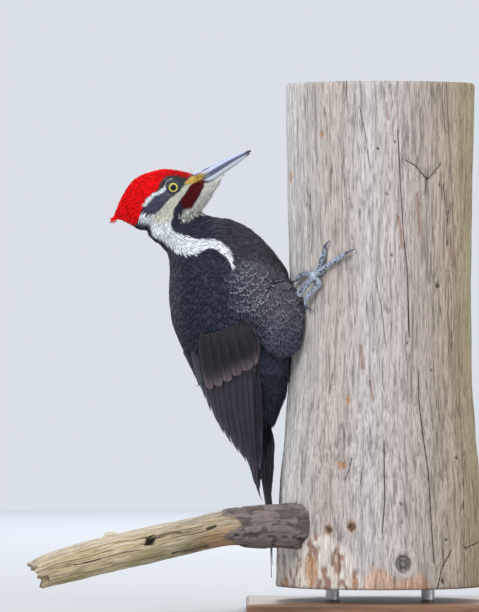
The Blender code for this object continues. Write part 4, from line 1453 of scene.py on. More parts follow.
def log_radius(angle, height):
    """Radius of the bark in metres; the angle is in radians from -X towards -Y."""
    angle, height = np.asarray(angle, dtype=float), np.asarray(height, dtype=float)
    heights, radii = np.array(LOG_RADII).T * MM
    radius = np.interp(height, heights, radii)
    return radius * (1 + sum(share * np.cos(waves * angle + phase) for waves, share, phase in LOG_LOBES))


def on_bark(angle, height, lift, side):
    turn = -side * math.radians(angle)
    radius = float(log_radius(turn, height * MM)) + lift * MM
    return np.array([-radius * math.cos(turn), -radius * math.sin(turn), height * MM])


def swept(line, radii, around, shape):
    """Rings round a line: places and the ring frames' outward (away from the log) shares.

    shape(run, turn, up) gives the radius factor at a distance along and a turn, up being 1 away from the log.
    """
    ahead = unit(np.gradient(line, axis=0))
    out = line * np.array([1, 1, 0])
    out = unit(out - ahead * (out * ahead).sum(1, keepdims=True))
    across = np.cross(ahead, out)
    run = np.concatenate([[0], np.cumsum(np.linalg.norm(np.diff(line, axis=0), axis=1))]) / MM
    turns = np.arange(around) * math.tau / around
    up = np.cos(turns)[None, :].repeat(len(line), 0)
    factor = shape(run[:, None], turns[None, :], up)
    rings = line[:, None] + (out[:, None] * up[..., None] + across[:, None] * np.sin(turns)[None, :,
        None]) * (
        radii[:, None] * factor * MM
    )[..., None]
    return rings, run, up


def capped(rings):
    """Vertices and faces of rings closed by their ends."""
    rows, around = rings.shape[:2]
    faces = grid_faces(rows, around)
    faces += [tuple(range(around))[::-1], tuple(range((rows - 1) * around, rows * around))]
    return rings.reshape(-1, 3), faces


def scaled_toe(line, radii, seed):
    """A toe or lower leg with scales over and pads under: places, faces, shades."""
    def shape(run, turn, up):
        part = (run / SCUTE) % 1.0
        over = smoothstep(-0.1, 0.5, up)
        scute = 0.09 * (1 - part) * over - 0.1 * smoothstep(0.9, 1.0, part) * over
        pads = 0.1 * np.sin(run * 1.15) * smoothstep(0.1, 0.8, -up)
        beads = 0.04 * np.sin(run * 5.2) * np.sin(turn * 9) * smoothstep(0.35, -0.1, up)
        return 1 + scute + pads + beads

    rings, run, up = swept(line, radii, 20, shape)
    part = (run / SCUTE) % 1.0
    gap = smoothstep(0.48, 0.78, part)[:, None] * smoothstep(-0.2, 0.35, up)
    number = np.floor(run / SCUTE)
    fleck = (np.sin(number * 12.9898 + seed) * 43758.5453) % 1.0
    turns = np.arange(20) * math.tau / 20
    towards = np.cos(turns[None] - (fleck[:, None] - 0.5) * 2.4)
    spot = smoothstep(0.3, 0.5, fleck)[:, None] * smoothstep(0.75, 1.0, towards)
    dark = np.clip(gap * 0.9 + spot * 0.85, 0, 1)[..., None]
    under = smoothstep(0.0, 0.7, -up)[..., None]
    shades = SCALE_LIGHT * (1 - under) + SOLE * under
    shades = shades * (0.85 + 0.3 * fleck)[:, None, None]
    shades = shades * (1 - dark) + SCALE_DARK * dark
    places, faces = capped(rings)
    return places, faces, shades.reshape(-1, 3)


def merged(parts):
    """Joins (places, faces, shades) parts into one set."""
    places, faces, shades, base = [], [], [], 0
    for part_places, part_faces, part_shades in parts:
        faces += [tuple(base + corner for corner in face) for face in part_faces]
        places.append(part_places)
        shades.append(part_shades)
        base += len(part_places)
    return np.concatenate(places), faces, np.concatenate(shades)


def palm(centre, radius):
    """A low pad between the toes."""
    around, rows = 20, 12
    rings = []
    out = unit((centre * np.array([1, 1, 0]))[None])[0]
    across = np.cross(np.array([0, 0, 1.0]), out)
    for i in range(1, rows):
        polar = math.pi * i / rows
        for_ring = [
            centre + (across * math.sin(polar) * math.cos(t) + np.array([0, 0,
                1.0]) * math.sin(polar) * math.sin(t)
                      + out * math.cos(polar) * 0.85) * radius * MM
            for t in np.arange(around) * math.tau / around
        ]
        rings.append(for_ring)
    places, faces = capped(np.array(rings))
    bumps = value_noise(places, 0.9 * MM, 9)[:, None]
    shades = SCALE_LIGHT * (0.55 + 0.6 * bumps)
    return places, faces, shades


def make_foot(name, side, foot_material, claw_material):
    shift = FOOT_SHIFT[name]

    def place(angle, height, lift):
        return on_bark(angle, height + shift, lift, side)

    centre, ankle = place(*FOOT_CENTRE), place(*ANKLE)
    parts = [palm(centre, 3.9)]
    leg = curve_through([tuple(ankle), tuple(ankle * 0.45 + centre * 0.55), tuple(centre)], 60)
    parts.append(scaled_toe(leg, np.interp(np.linspace(0, 1, 60), (0, 0.5, 1), (2.8, 2.5, 2.7)), 1.0))
    for number, (toe, points) in enumerate(TOES.items()):
        first = place(*points[0])
        line = [tuple(centre * 0.7 + first * 0.3)] + [tuple(place(*point)) for point in points]
        line = curve_through(line, 90)
        along = np.linspace(0, 1, 90)
        radii = np.interp(along, np.linspace(0, 1, 5), TOE_RADII) * (1 + 0.06 * np.sin(along * 9.0))
        radii = radii * np.interp(along, (0, 0.94, 1), (1, 1, 0.72))
        parts.append(scaled_toe(line, radii, number * 3.7 + 2))
        path = [tuple(place(*points[-1]))] + [tuple(place(*point)) for point in CLAWS[toe][1:]]
        path = curve_through(path, 28)
        share = np.linspace(0, 1, 28)
        claw_radii = np.interp(share, np.linspace(0, 1, 4), CLAW_RADII)
        rings, _, up = swept(
            path, claw_radii, 14, lambda run, turn, up: 1 - 0.28 * np.abs(np.sin(turn)) ** 1.5
        )
        places, faces = capped(rings)
        root = smoothstep(0.35, 0.0, share)[:, None, None]
        tone = CLAW_SHADE * (1 - root) + SCALE_LIGHT * 0.8 * root
        # lighter on the side away from the log and darker towards it: painted light and shade
        tone = tone * (0.8 + 0.4 * np.maximum(up, 0))[..., None]
        claw = new_object(f"claw_{toe}_{name}_horn", places, faces, claw_material)
        colour_attribute(claw.data, "marks", tone.reshape(-1, 3))
        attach(claw, "root")
        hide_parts(f"claw_{toe}_{name}")
    places, faces, shades = merged(parts)
    foot = new_object(f"foot_{name}_scaled", places, faces, foot_material)
    colour_attribute(foot.data, "marks", shades)
    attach(foot, "root")
    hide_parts(f"foot_{name}")


CLAW_SHADE = srgb(58, 66, 88)


def scale_material():
    nodes = Nodes("foot_scale", roughness=0.45, Specular_IOR_Level=0.45)
    marks = nodes.attribute("marks").outputs["Color"]
    grain = nodes.noise(nodes.place(), 2600.0, 3.0)
    nodes.colour(nodes.mix(1.0, marks, nodes.ramp(grain, (0.3, 0.8), (0.7, 1.12)), "MULTIPLY"))
    nodes.bump(grain, 0.3, 0.00015)
    return nodes.material


def claw_material():
    nodes = Nodes("claw_horn", roughness=0.25, Coat_Weight=0.3, Coat_Roughness=0.15)
    marks = nodes.attribute("marks").outputs["Color"]
    grain = nodes.noise(nodes.scaled(nodes.place(), (1500.0, 1500.0, 400.0)), 1.0, 4.0)
    nodes.colour(nodes.mix(1.0, marks, nodes.ramp(grain, (0.3, 0.75), (0.7, 1.2)), "MULTIPLY"))
    nodes.bump(grain, 0.15, 0.0001)
    return nodes.material


# --- wood ----------------------------------------------------------------------------------
# Bark-less old wood round the log: degrees from -X towards -Y (the picture's side), display colour.
LOG_TONES = [
    (0, 206, 204, 203), (22, 208, 203, 199), (42, 190, 181, 174), (60, 183, 170, 162), (80, 192, 184, 182),
    (100, 186, 175, 170), (120, 172, 159, 148), (138, 176, 160, 140), (148, 170, 154, 130),
    (165, 168, 154, 122),
    (180, 160, 148, 124), (205, 168, 156, 134), (245, 178, 166, 152), (300, 190, 181, 173),
    (340, 203, 198, 194),
    (360, 206, 204, 203),
]
LOG_CRACKS = [  # lines down the log in the side view
    [(444.5, 60), (448.4, 153), (452, 220), (456, 300), (459, 380), (463, 479), (463.4, 579), (463.5, 600)],
    [(396, 132), (399, 190), (402, 235), (406, 270), (407, 300), (408, 336)],
    [(299.5, 438), (299, 470), (298.6, 482)],
    [(417, 372), (417.5, 400), (421, 430), (427, 470), (430, 520), (433, 560)],
    [(382, 440), (382.6, 500), (380, 530)],
    [(304, 190), (305, 215), (304.5, 238)], [(463, 548), (470, 544), (479, 541)],
    [(433, 600), (440, 566), (450, 548)],
    [(404, 162), (415, 168), (425, 180)], [(439, 165), (433, 174), (425, 182), (424, 195)],
    [(343, 478), (347, 468), (350, 456)],
]
LOG_SLITS = [  # red-brown slits: top, bottom, half width
    ((385, 106), (386, 122), 1.2), ((416, 196), (418.5, 236), 1.8), ((397, 218), (401, 248), 2.4),
    ((351, 238), (352, 250), 0.8),
    ((359, 345), (361, 368), 2.6), ((368, 380), (371, 398), 2.0), ((449, 236), (451, 267), 1.3),
]
LOG_PINHOLES = [
    (376, 151, 1.6), (385, 195, 1.5), (390, 256, 1.4), (437, 286, 2.0), (393, 144, 1.3), (438, 187, 1.2),
    (455, 456, 1.9),
    (454, 426, 1.0), (406, 343, 0.9), (441, 578, 2.2), (445, 537, 1.5), (399, 501, 1.2), (430, 369, 1.0),
    (333, 125, 1.0),
]
LOG_KNOTS = [(401, 560, 9.0), (349.5, 524, 4.4), (327, 527, 3.6)]  # centre and radius
LOG_GOUGES = [  # pecked pits that show orange wood: centre, half width, half height, depth in mm
    (320, 136, 1.8, 4.0, 0.8), (290, 178, 1.4, 6.0, 0.8), (346, 399, 2.2, 5.0, 1.0),
    (340, 463, 4.5, 4.0, 1.6),
    (309, 568, 6.5, 17.0, 2.4), (283, 590, 3.2, 16.0, 1.8), (353, 580, 4.0, 7.5, 1.4),
    (327, 527, 5.0, 5.5, 1.6),
    (350, 523, 5.0, 6.5, 1.8),
]
FLAKY = [
    (270, 606), (270, 550), (292, 540), (306, 531), (330, 534), (345, 545), (352, 560), (360, 575),
    (358, 606),
]
WARM_PATCH = [
    (362, 606), (362, 574), (372, 562), (382, 566), (395, 576), (420, 570), (428, 582), (426, 606),
]
WOOD_ORANGE = srgb(190, 136, 88)
WOOD_RED = srgb(140, 98, 78)
# dark knot and bark wood, and painted shade in the holes
DARK_WOOD_AND_HOLE_SHADE = srgb(44, 38, 34)
WOOD_PALE = srgb(222, 212, 200)
END_GRAIN = srgb(186, 160, 122)
BRANCH_ROWS = [  # x, y, z, half height, half width (mm)
    (-52, -38, 75, 21, 19), (-80, -50, 76.5, 19, 18), (-106, -56, 76, 18, 17.5), (-132, -61, 75.5, 16, 16),
    (-160, -67, 70.5, 15.5, 15.5), (-202, -77, 61, 15.8, 15), (-246, -88, 51, 16, 14.5),
    (-281, -96, 42, 15, 12.5),
    (-297, -100, 36.5, 13.5, 11),
]
BRANCH_WOOD = srgb(184, 166, 132)
BRANCH_OLIVE = srgb(150, 138, 96)
BRANCH_BARK = srgb(122, 110, 106)


def angle_at(x, height):
    """Turn round the log, in degrees, of a place seen in the side view."""
    radius = np.interp(height, *(np.array(LOG_RADII).T * MM))
    return np.degrees(np.arccos(np.clip((PICTURE_X0 - np.asarray(x)) * PIXEL / radius, -1, 1)))


def log_wear(angle, height):
    """Depth in mm (negative is in), linear colour and distance to the nearest crack, over the bark."""
    turn = np.radians(angle)
    radius = np.interp(height, *(np.array(LOG_RADII).T * MM)) / MM
    high = height / MM
    # a ring in the plane keeps the noise seamless
    east, north = radius * np.cos(turn), radius * np.sin(turn)
    wide = layered_noise(np.stack([east, north, high / 5], axis=1), 14.0, 2, 3)
    fine = layered_noise(np.stack([east, north, high / 14], axis=1), 2.6, 5, 3)
    ridged = np.abs(2 * layered_noise(np.stack([east, north, high / 18], axis=1), 5.0, 8, 2) - 1)
    depth = (wide - 0.5) * 2.2 - 0.3 + (fine - 0.5) * 1.1 - 0.9 * smoothstep(0.12, 0.0, ridged)
    tones = np.array(LOG_TONES, dtype=float)
    colour = srgb(*(np.interp(angle % 360, tones[:, 0], tones[:, k]) for k in (1, 2, 3))).T
    colour = colour * (0.86 + 0.28 * wide + 0.16 * (fine - 0.5))[:, None]
    colour = colour * (1 - 0.35 * smoothstep(0.1, 0.0, ridged))[:, None]

    def lay(amount, shade):
        nonlocal colour
        colour = colour * (1 - amount[:, None]) + np.asarray(shade) * amount[:, None]

    facing = np.sin(turn) > 0
    x = PICTURE_X0 - radius * MM / PIXEL * np.cos(turn)
    y = PICTURE_Y0 - height / PIXEL
    around = angle % 360
    patch = np.where(facing, smoothstep(-4, 4, reach_inside(x, y, FLAKY)), 0)
    flake = smoothstep(0.37, 0.47, layered_noise(np.stack([east, north, high / 2.5], axis=1), 4.5, 12, 3))
    depth += patch * (flake * 1.3 - 0.9)
    lay(patch * 0.85 * flake, WOOD_PALE)
    lay(patch * 0.75 * (1 - flake), WOOD_RED * 1.2)
    warm = np.where(facing, smoothstep(-4, 5, reach_inside(x, y, WARM_PATCH)), 0)
    lay(warm * 0.5, WOOD_ORANGE * 1.15)
    crack = np.full(len(angle), NO_CRACK)
    for line in LOG_CRACKS:
        line = np.array(line, dtype=float)
        heights = (PICTURE_Y0 - line[:, 1]) * PIXEL
        turns = angle_at(line[:, 0], heights)
        points = list(zip(np.radians(turns) * LOG_MEAN_RADIUS, heights / MM))
        own_x, own_y = np.radians(around) * LOG_MEAN_RADIUS, high
        reach = reach_line(own_x, own_y, points)
        order = np.argsort([p[1] for p in points])
        downs, acrosses = (np.array([p[k] for p in points])[order] for k in (1, 0))
        middle = np.interp(own_y, downs, acrosses)
        signed = np.where(own_x > middle, reach, -reach)
        crack = np.where(np.abs(signed) < np.abs(crack), signed, crack)
        depth -= 1.7 * smoothstep(1.6, 0.2, reach)
    spread = np.random.default_rng(5)
    for _ in range(46):  # short splits all round
        turn0, low = spread.uniform(0, 360), spread.uniform(30, 440)
        length, lean = spread.uniform(12, 90), spread.normal(0, 0.012)
        off = (around - turn0 + 180) % 360 - 180
        own_x = np.radians(off) * LOG_MEAN_RADIUS - (high - low) * lean * 8 + 0.5 * np.sin(high / 7 + turn0)
        beyond = np.maximum(np.maximum(low - high, high - low - length), 0)
        signed = np.where(own_x > 0, 1, -1) * np.hypot(own_x, beyond) * 1.8
        crack = np.where(np.abs(signed) < np.abs(crack), signed, crack)
        depth -= 0.9 * smoothstep(1.8, 0.3, np.abs(signed))
    for (x0, y0), (x1, y1), half in LOG_SLITS:
        reach = reach_line(x, y, [(x0, y0), (x1, y1)])
        amount = np.where(facing, smoothstep(half, half * 0.3, reach), 0)
        depth -= 1.2 * amount
        lay(amount * 0.6, WOOD_RED)
    for x0, y0, half_x, half_y, deep in LOG_GOUGES:
        reach = np.hypot((x - x0) / half_x, (y - y0) / half_y) + 0.35 * (fine - 0.5)
        amount = np.where(facing, smoothstep(1.15, 0.75, reach), 0)
        depth -= deep * amount
        lay(amount * 0.7, WOOD_ORANGE)
        lay(np.where(facing, smoothstep(0.5, 0.1, reach), 0) * 0.5, WOOD_RED)
    for x0, y0, size in LOG_KNOTS:
        reach = np.hypot(x - x0, (y - y0) * 0.9) / size
        ring = np.where(facing, np.exp(-(((reach - 1.25) / 0.3) ** 2)), 0)
        heart = np.where(facing, smoothstep(1.0, 0.75, reach), 0)
        whorl = 0.5 + 0.5 * np.sin(reach * 16 + 3 * fine)
        depth += 1.3 * ring - 1.4 * heart * (0.6 + 0.6 * whorl * (size > 5))
        lay(heart * (0.55 + 0.4 * whorl), DARK_WOOD_AND_HOLE_SHADE * 1.8)
        lay(ring * 0.4, WOOD_PALE * 0.7)
    # the pinholes painted nearly black: painted shade inside them
    for x0, y0, size in LOG_PINHOLES:
        amount = np.where(facing, smoothstep(size * 1.2, size * 0.5, np.hypot(x - x0, y - y0)), 0)
        depth -= 1.8 * amount
        lay(amount * 0.95, DARK_WOOD_AND_HOLE_SHADE)
    return depth, np.clip(colour, 0, 1), crack


def wood_material(name, grain_scale, dark=0.5):
    """Weathered wood: the carried marks, long dark grain lines, fine fibres, and splits painted dark as shade
    inside them.
    """
    nodes = Nodes(name, roughness=0.82, Specular_IOR_Level=0.25)
    marks = nodes.attribute("marks").outputs["Color"]
    place = nodes.attribute("grain").outputs["Vector"]
    fibre = nodes.noise(nodes.scaled(place, tuple(1.9 * v for v in grain_scale)), 1.0, 6.0, 0.65)
    coarse = nodes.noise(nodes.scaled(place, tuple(0.55 * v for v in grain_scale)), 1.0, 5.0, 0.6)
    speck = nodes.noise(nodes.scaled(place, (1.5, 1.5, 1.5)), 1.0, 4.0, 0.7)
    lines = nodes.ramp(fibre, (0.34, 0.42), (0.5, 0.98), (0.68, 1.16))
    broad = nodes.ramp(coarse, (0.33, 0.62), (0.5, 1.0), (0.75, 1.16))
    dots = nodes.ramp(speck, (0.27, dark), (0.36, 1.0))
    crack = nodes.math("ABSOLUTE", nodes.attribute("crack").outputs["Fac"])
    wander = nodes.math("SUBTRACT", crack, nodes.math("MULTIPLY", nodes.math("SUBTRACT", fibre, 0.5), 0.9))
    # the cracks painted nearly black: painted shade inside them
    split = nodes.ramp(wander, (0.18, 0.10), (0.62, 1.0))
    shade = nodes.mix(
        1.0, nodes.mix(1.0, lines, broad, "MULTIPLY"), nodes.mix(1.0, dots, split, "MULTIPLY"), "MULTIPLY"
    )
    nodes.colour(nodes.mix(1.0, marks, shade, "MULTIPLY"))
    height = nodes.math("ADD", nodes.math("MULTIPLY", fibre, 0.7), nodes.math("MULTIPLY", coarse, 0.8))
    height = nodes.math("ADD", height, nodes.math("MULTIPLY", split, 0.6))
    nodes.bump(height, 0.7, 0.0012)
    return nodes.material


def vector_attribute(mesh, name, values):
    flat = np.asarray(values, np.float32).ravel()
    mesh.attributes.new(name, "FLOAT_VECTOR", "POINT").data.foreach_set("vector", flat)


def float_attribute(mesh, name, values):
    mesh.attributes.new(name, "FLOAT", "POINT").data.foreach_set("value", np.asarray(values, np.float32))


def make_log(material):
    """The weathered cut length of trunk, with growth rings on its sawn ends."""
    around, rows = ((430, 226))
    turns = np.arange(around) * 360.0 / around
    heights = np.linspace(LOG_BOTTOM, LOG_TOP, rows)
    angle, height = (value.ravel() for value in np.meshgrid(turns, heights))
    depth, colour, crack = log_wear(angle, height)
    rim = smoothstep(2.2, 0.0, np.minimum(height - LOG_BOTTOM, LOG_TOP - height) / MM)
    depth = depth - 1.2 * rim
    radius = log_radius(np.radians(angle), height) + np.clip(depth, -5, 0.6) * MM
    places = np.stack(
        [-radius * np.cos(np.radians(angle)), -radius * np.sin(np.radians(angle)), height], axis=1
    )
    grain = places / MM
    faces = [face[::-1] for face in grid_faces(rows, around)]
    all_places, shades, cracks, grains = [places], [colour], [crack], [grain]
    base = len(places)
    for level, first, sign in ((LOG_TOP, (rows - 1) * around, 1), (LOG_BOTTOM, 0, -1)):
        rim_places = places[first : first + around]
        rings = 26
        previous = np.arange(first, first + around)
        for ring in range(1, rings + 1):
            share = 1 - ring / rings
            spot = rim_places * np.array([share, share, 1])
            reach = np.hypot(spot[:, 0], spot[:, 1]) / MM
            uneven = layered_noise(spot / MM, 9.0, 21, 3)
            year = 0.5 + 0.5 * np.sin(reach * 1.55 + 5 * uneven)
            spot = spot.copy()
            spot[:, 2] = level + sign * (-0.35 * (1 - year) - 0.5 * uneven) * MM * (share < 0.999)
            shade = END_GRAIN * (0.72 + 0.4 * year * uneven + 0.1 * (reach / 80))[:, None]
            if ring == rings:
                all_places.append(spot.mean(0)[None])
                shades.append(shade[:1])
                cracks.append([NO_CRACK])
                grains.append(np.array([[0, 0, level / MM]]))
                faces += [
                    ((previous[j], previous[(j + 1) % around], base)[:: -sign]) for j in range(around)
                ]
                base += 1
                break
            split = np.full(around, NO_CRACK)
            for ray, reach_in in ((148, 0.1), (31, 0.45), (80, 0.6), (205, 0.3), (262, 0.5), (318, 0.55)):
                off = np.radians((turns - ray + 180) % 360 - 180) * reach + 0.6 * np.sin(reach / 6 + ray)
                off = np.where(share > reach_in, off, NO_CRACK)
                split = np.where(np.abs(off) < np.abs(split), off * 1.2, split)
            all_places.append(spot)
            shades.append(shade)
            cracks.append(split)
            grains.append(np.stack([spot[:, 0] / MM, spot[:, 1] / MM, np.full(around, level / MM)], axis=1))
            current = np.arange(base, base + around)
            for j in range(around):
                k = (j + 1) % around
                face = (previous[j], previous[k], current[k], current[j])
                faces.append(face[::-sign])
            previous = current
            base += around
    made = new_object("log_wood", np.concatenate(all_places), faces, material)
    colour_attribute(made.data, "marks", np.concatenate(shades))
    float_attribute(made.data, "crack", np.concatenate(cracks))
    vector_attribute(made.data, "grain", np.concatenate(grains))
    return made


def branch_frames(rows):
    """Centres, and across and up directions, along the branch."""
    centres = rows[:, :3]
    ahead = unit(np.gradient(centres, axis=0))
    across = unit(np.cross(ahead, np.array([0, 0, 1.0])))
    return centres, across, np.cross(across, ahead)


def make_branch(material):
    """The broken branch: bark by the log, bare splintered wood beyond."""
    around, per_row = ((128, 34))
    rows = smooth_rows(BRANCH_ROWS, per_row)
    centres, across, up = branch_frames(rows)
    run = np.concatenate([[0], np.cumsum(np.linalg.norm(np.diff(centres, axis=0), axis=1))])
    turns = np.arange(around) * math.tau / around
    directions = across[:, None] * (rows[:, 4:5] * np.cos(turns)[None])[..., None]
    directions = directions + up[:, None] * (rows[:, 3:4] * np.sin(turns)[None])[..., None]
    base = centres[:, None] + directions
    outward = unit(directions.reshape(-1, 3))
    flat = base.reshape(-1, 3)
    x, y = to_picture(flat * MM)
    far = np.repeat(run, around)
    ring = np.tile(turns, len(rows))
    east, north = 15 * np.cos(ring), 15 * np.sin(ring)
    grain = np.stack([east, north, far], axis=1)
    wide = layered_noise(grain * np.array([1, 1, 0.25]), 9.0, 31, 3)
    fine = layered_noise(grain * np.array([1, 1, 0.09]), 2.2, 33, 3)
    bark = smoothstep(0.42, 0.58, (x - 236) / 30 + 0.5 + (wide - 0.5) * 1.6)
    plates = layered_noise(grain * np.array([1, 1, 0.6]), 5.0, 36, 3)
    depth = (wide - 0.5) * 2.0 + (fine - 0.5) * 1.3 * (1 - bark) - 0.4
    depth += bark * (0.9 + 1.6 * smoothstep(0.42, 0.52, plates) - 1.0)
    colour = np.tile(BRANCH_WOOD, (len(flat), 1))
    facing = outward[:, 1] < 0.2

    def lay(amount, shade):
        nonlocal colour
        colour = colour * (1 - amount[:, None]) + np.asarray(shade) * amount[:, None]

    lay(smoothstep(0.35, 0.75, wide) * smoothstep(0.4, -0.5, outward[:, 2]) * 0.9, BRANCH_OLIVE)
    lay(smoothstep(0.55, 0.75, fine) * 0.35, WOOD_PALE)
    lay(smoothstep(185, 225, x) * smoothstep(0.3, -0.3, outward[:, 2]) * 0.6, WOOD_ORANGE)
    lay(smoothstep(0.5, 0.95, outward[:, 2]) * smoothstep(245, 215, x) * 0.4, WOOD_PALE * 0.9)
    lay(smoothstep(110, 230, x) * 0.3, BRANCH_BARK * 0.8)
    lay(bark, BRANCH_BARK)
    lay(bark * smoothstep(0.5, 0.42, plates) * 0.5, DARK_WOOD_AND_HOLE_SHADE * 1.4)
    hole = np.maximum(np.abs((x - 152) + 0.25 * (y - 537)) / 4.4, np.abs(y - 537) / 4.6)
    hole = np.where(facing, smoothstep(1.15, 0.8, hole), 0)
    slot = reach_line(x, y, [(174, 550.5), (190, 548.5), (208, 544)]) + (fine - 0.5) * 1.6
    slot = np.where(facing, smoothstep(2.0, 1.0, slot), 0)
    slot2 = np.where(facing, smoothstep(1.5, 0.7, reach_line(x, y, [(208, 526), (216, 523)])), 0)
    depth -= hole * 7 + slot * 4.5 + slot2 * 2.5
    # the hole and the slots painted dark: painted shade inside them
    lay(np.clip(hole + slot + slot2, 0, 1) * 0.95, DARK_WOOD_AND_HOLE_SHADE * 0.7)
    splint = smoothstep(40, 0, x - 32) * (layered_noise(grain * np.array([1, 1, 0.04]), 3.5, 41, 2) - 0.5)
    depth += splint * 5
    knob = smoothstep(1.0, 0.4, np.hypot((x - 112) / 8, (ring - math.pi / 2) / 0.55))
    depth += knob * (2.2 + 3 * (fine - 0.5))
    places = (flat + outward * np.clip(depth, -8, 3.0)[:, None]) * MM
    jag = value_noise(np.stack([5 * np.cos(ring), 5 * np.sin(ring), 0 * ring], axis=1), 1.6, 51) - 0.45
    ending = unit((centres[-1] - centres[-9])[None])[0]
    places += ending * (jag * 15 * smoothstep(run[-1] - 24, run[-1], far))[:, None] * MM
    crack = np.full(len(flat), NO_CRACK)
    spread = np.random.default_rng(8)
    for _ in range(22):
        turn0, start, length = spread.uniform(0, math.tau), spread.uniform(60, 250), spread.uniform(15, 80)
        off = ((ring - turn0 + math.pi) % math.tau - math.pi) * 15 + 0.6 * np.sin(far / 8 + turn0)
        beyond = np.maximum(np.maximum(start - far, far - start - length), 0)
        signed = np.where(off > 0, 1, -1) * np.hypot(off, beyond) * 1.7
        crack = np.where(np.abs(signed) < np.abs(crack), signed, crack)
    crack = np.where(bark > 0.5, NO_CRACK, crack)
    faces = grid_faces(len(rows), around)
    last = (len(rows) - 1) * around
    tip = centres[-1] * MM - ending * 0.004
    all_places = np.concatenate([places, tip[None]])
    faces += [(last + j, last + (j + 1) % around, len(places)) for j in range(around)]
    faces.append(tuple(range(around))[::-1])
    made = new_object("branch_wood", all_places, [face[::-1] for face in faces], material)
    colour_attribute(made.data, "marks", np.concatenate([colour, (BRANCH_WOOD * 0.8)[None]]))
    float_attribute(made.data, "crack", np.append(crack, NO_CRACK))
    vector_attribute(made.data, "grain", np.concatenate([grain, grain[-1:]]))
    return made


def stand_materials():
    """Finishes for the base and rods, whose own solids stay."""
    wood = Nodes("stand_wood_finish", roughness=0.45, Coat_Weight=0.25, Coat_Roughness=0.2)
    place = wood.place()
    line = wood.noise(wood.scaled(place, (9.0, 120.0, 120.0)), 1.0, 5.0, 0.6)
    pore = wood.noise(wood.scaled(place, (60.0, 1400.0, 1400.0)), 1.0, 4.0)
    colour = wood.ramp(
        line, (0.3, tuple(srgb(92, 62, 42))), (0.5, tuple(srgb(120, 84, 58))),
        (0.7, tuple(srgb(142, 104, 74)))
    )
    wood.colour(wood.mix(1.0, colour, wood.ramp(pore, (0.35, 0.72), (0.5, 1.0)), "MULTIPLY"))
    wood.bump(pore, 0.15, 0.0003)
    steel = Nodes("stand_steel_finish", roughness=0.3, Metallic=1.0)
    brushed = steel.noise(steel.scaled(steel.place(), (40.0, 40.0, 2600.0)), 1.0, 3.0)
    steel.colour(steel.ramp(brushed, (0.3, 0.42), (0.7, 0.56)))
    steel.rough(steel.ramp(brushed, (0.3, 0.24), (0.7, 0.38)))
    return wood.material, steel.material


def main():
    rng = np.random.default_rng(11)
    skin = make_skin(skin_material())
    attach(skin, "root")
    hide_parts(*FLESH)
    places = vertex_places(skin.data)
    # the skin under the coat carries the markings darkened to 0.8: painted shade under the feathers
    colour_attribute(skin.data, "marks", markings(places) * 0.8)
    unwrap(skin)
    surface = Surface(skin)
    add_lids(skin)
    coats = [small_feathers(surface, rng), *body_feathers(surface, rng)]
    for coat in coats:
        for piece in coat.make():
            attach(piece, "root")
    eye_finish, horn, scale, claw = eye_material(), bill_material(), scale_material(), claw_material()
    for name, side in SIDES.items():
        ball = make_eye(f"eyeball_{name}", side, eye_finish)
        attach(ball, "root")
        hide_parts(f"eye_{name}")
        make_foot(name, side, scale, claw)
    for name, rows, upper in (("upper", BILL_ROWS, True), ("lower", BILL_ROWS[:-1], False)):
        half = bill_half(f"bill_{name}_horn", rows, upper, horn)
        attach(half, "root")
        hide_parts(f"bill_{name}")
    log = make_log(wood_material("weathered_log", (0.75, 0.75, 0.045)))
    branch = make_branch(wood_material("weathered_branch", (0.7, 0.7, 0.05), dark=0.6))
    for piece, node in ((log, "perch_log"), (branch, "perch_branch")):
        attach(piece, "root")
        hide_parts(node)
    wood, steel = stand_materials()
    for node, finish in (("stand_base", wood), ("stand_rod_1", steel), ("stand_rod_2", steel)):
        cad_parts[node].data.materials.clear()
        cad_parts[node].data.materials.append(finish)
    stiff = quill_material()
    for piece in (*wing_quills(rng, stiff), tail_quills(rng, stiff)):
        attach(piece, "root")


# --- stage ---------------------------------------------------------------------------------
CAMERA_DISTANCE = 6.0
CAMERA_CENTRE = (239.5, 306)  # picture place that the camera looks at
SENSOR = 36.0
FLOOR_RADIUS, FLOOR_SIDES = 3, 96
FLOOR_LEVEL = -0.0004  # just under the base, so that their faces don't meet


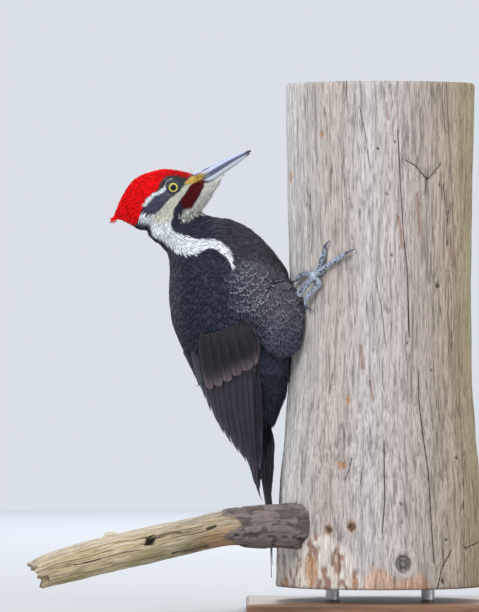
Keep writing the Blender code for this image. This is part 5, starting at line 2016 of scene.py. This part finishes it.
def make_camera():
    camera = bpy.data.cameras.new("camera")
    made = bpy.data.objects.new("camera", camera)
    bpy.context.scene.collection.objects.link(made)
    x, z = to_frame(*CAMERA_CENTRE)
    made.location = (x, -CAMERA_DISTANCE, z)
    made.rotation_euler = (math.pi / 2, 0, 0)
    camera.sensor_width = SENSOR
    camera.lens = SENSOR * CAMERA_DISTANCE / (PICTURE_SIZE[1] * PIXEL)
    camera.clip_end = 50
    bpy.context.scene.camera = made
    bpy.context.scene.view_settings.view_transform = "Standard"


def make_lights():
    world = bpy.data.worlds.new("studio")
    bpy.context.scene.world = world
    world.use_nodes = True
    world.node_tree.nodes["Background"].inputs["Color"].default_value = (0.88, 0.93, 1.0, 1)
    world.node_tree.nodes["Background"].inputs["Strength"].default_value = 0.8
    for name, place, size, energy in (
        ("key", (-1.6, -2.2, 2.2), 1.6, 70), ("fill", (1.8, -1.8, 1.0), 2.0, 25),
        ("back", (0.3, 2.4, 1.8), 1.8, 40),
    ):
        light = bpy.data.lights.new(name, "AREA")
        light.size = size
        light.energy = energy
        lamp = bpy.data.objects.new(name, light)
        lamp.location = place
        aim = Vector((-0.1, 0, 0.27)) - Vector(place)
        lamp.rotation_euler = aim.to_track_quat("-Z", "Y").to_euler()
        bpy.context.scene.collection.objects.link(lamp)


def make_floor():
    nodes = Nodes("floor", roughness=0.8)
    tint = nodes.noise(nodes.place(), 3.0)
    reach = nodes.math("ADD", nodes.attribute("reach").outputs["Fac"], nodes.math("MULTIPLY", tint, 0.01))
    nodes.colour(nodes.ramp(reach, (0.12, (0.49, 0.50, 0.515)), (0.95, (0.545, 0.575, 0.615))))
    turns = [math.tau * i / FLOOR_SIDES for i in range(FLOOR_SIDES)]
    ring = [(FLOOR_RADIUS * math.cos(turn), FLOOR_RADIUS * math.sin(turn), FLOOR_LEVEL) for turn in turns]
    faces = [(i, (i + 1) % FLOOR_SIDES, FLOOR_SIDES) for i in range(FLOOR_SIDES)]
    floor = new_object("floor", [*ring, (0, 0, FLOOR_LEVEL)], faces, nodes.material)
    float_attribute(floor.data, "reach", [1.0] * FLOOR_SIDES + [0.0])


make_camera()
make_lights()
make_floor()
main()
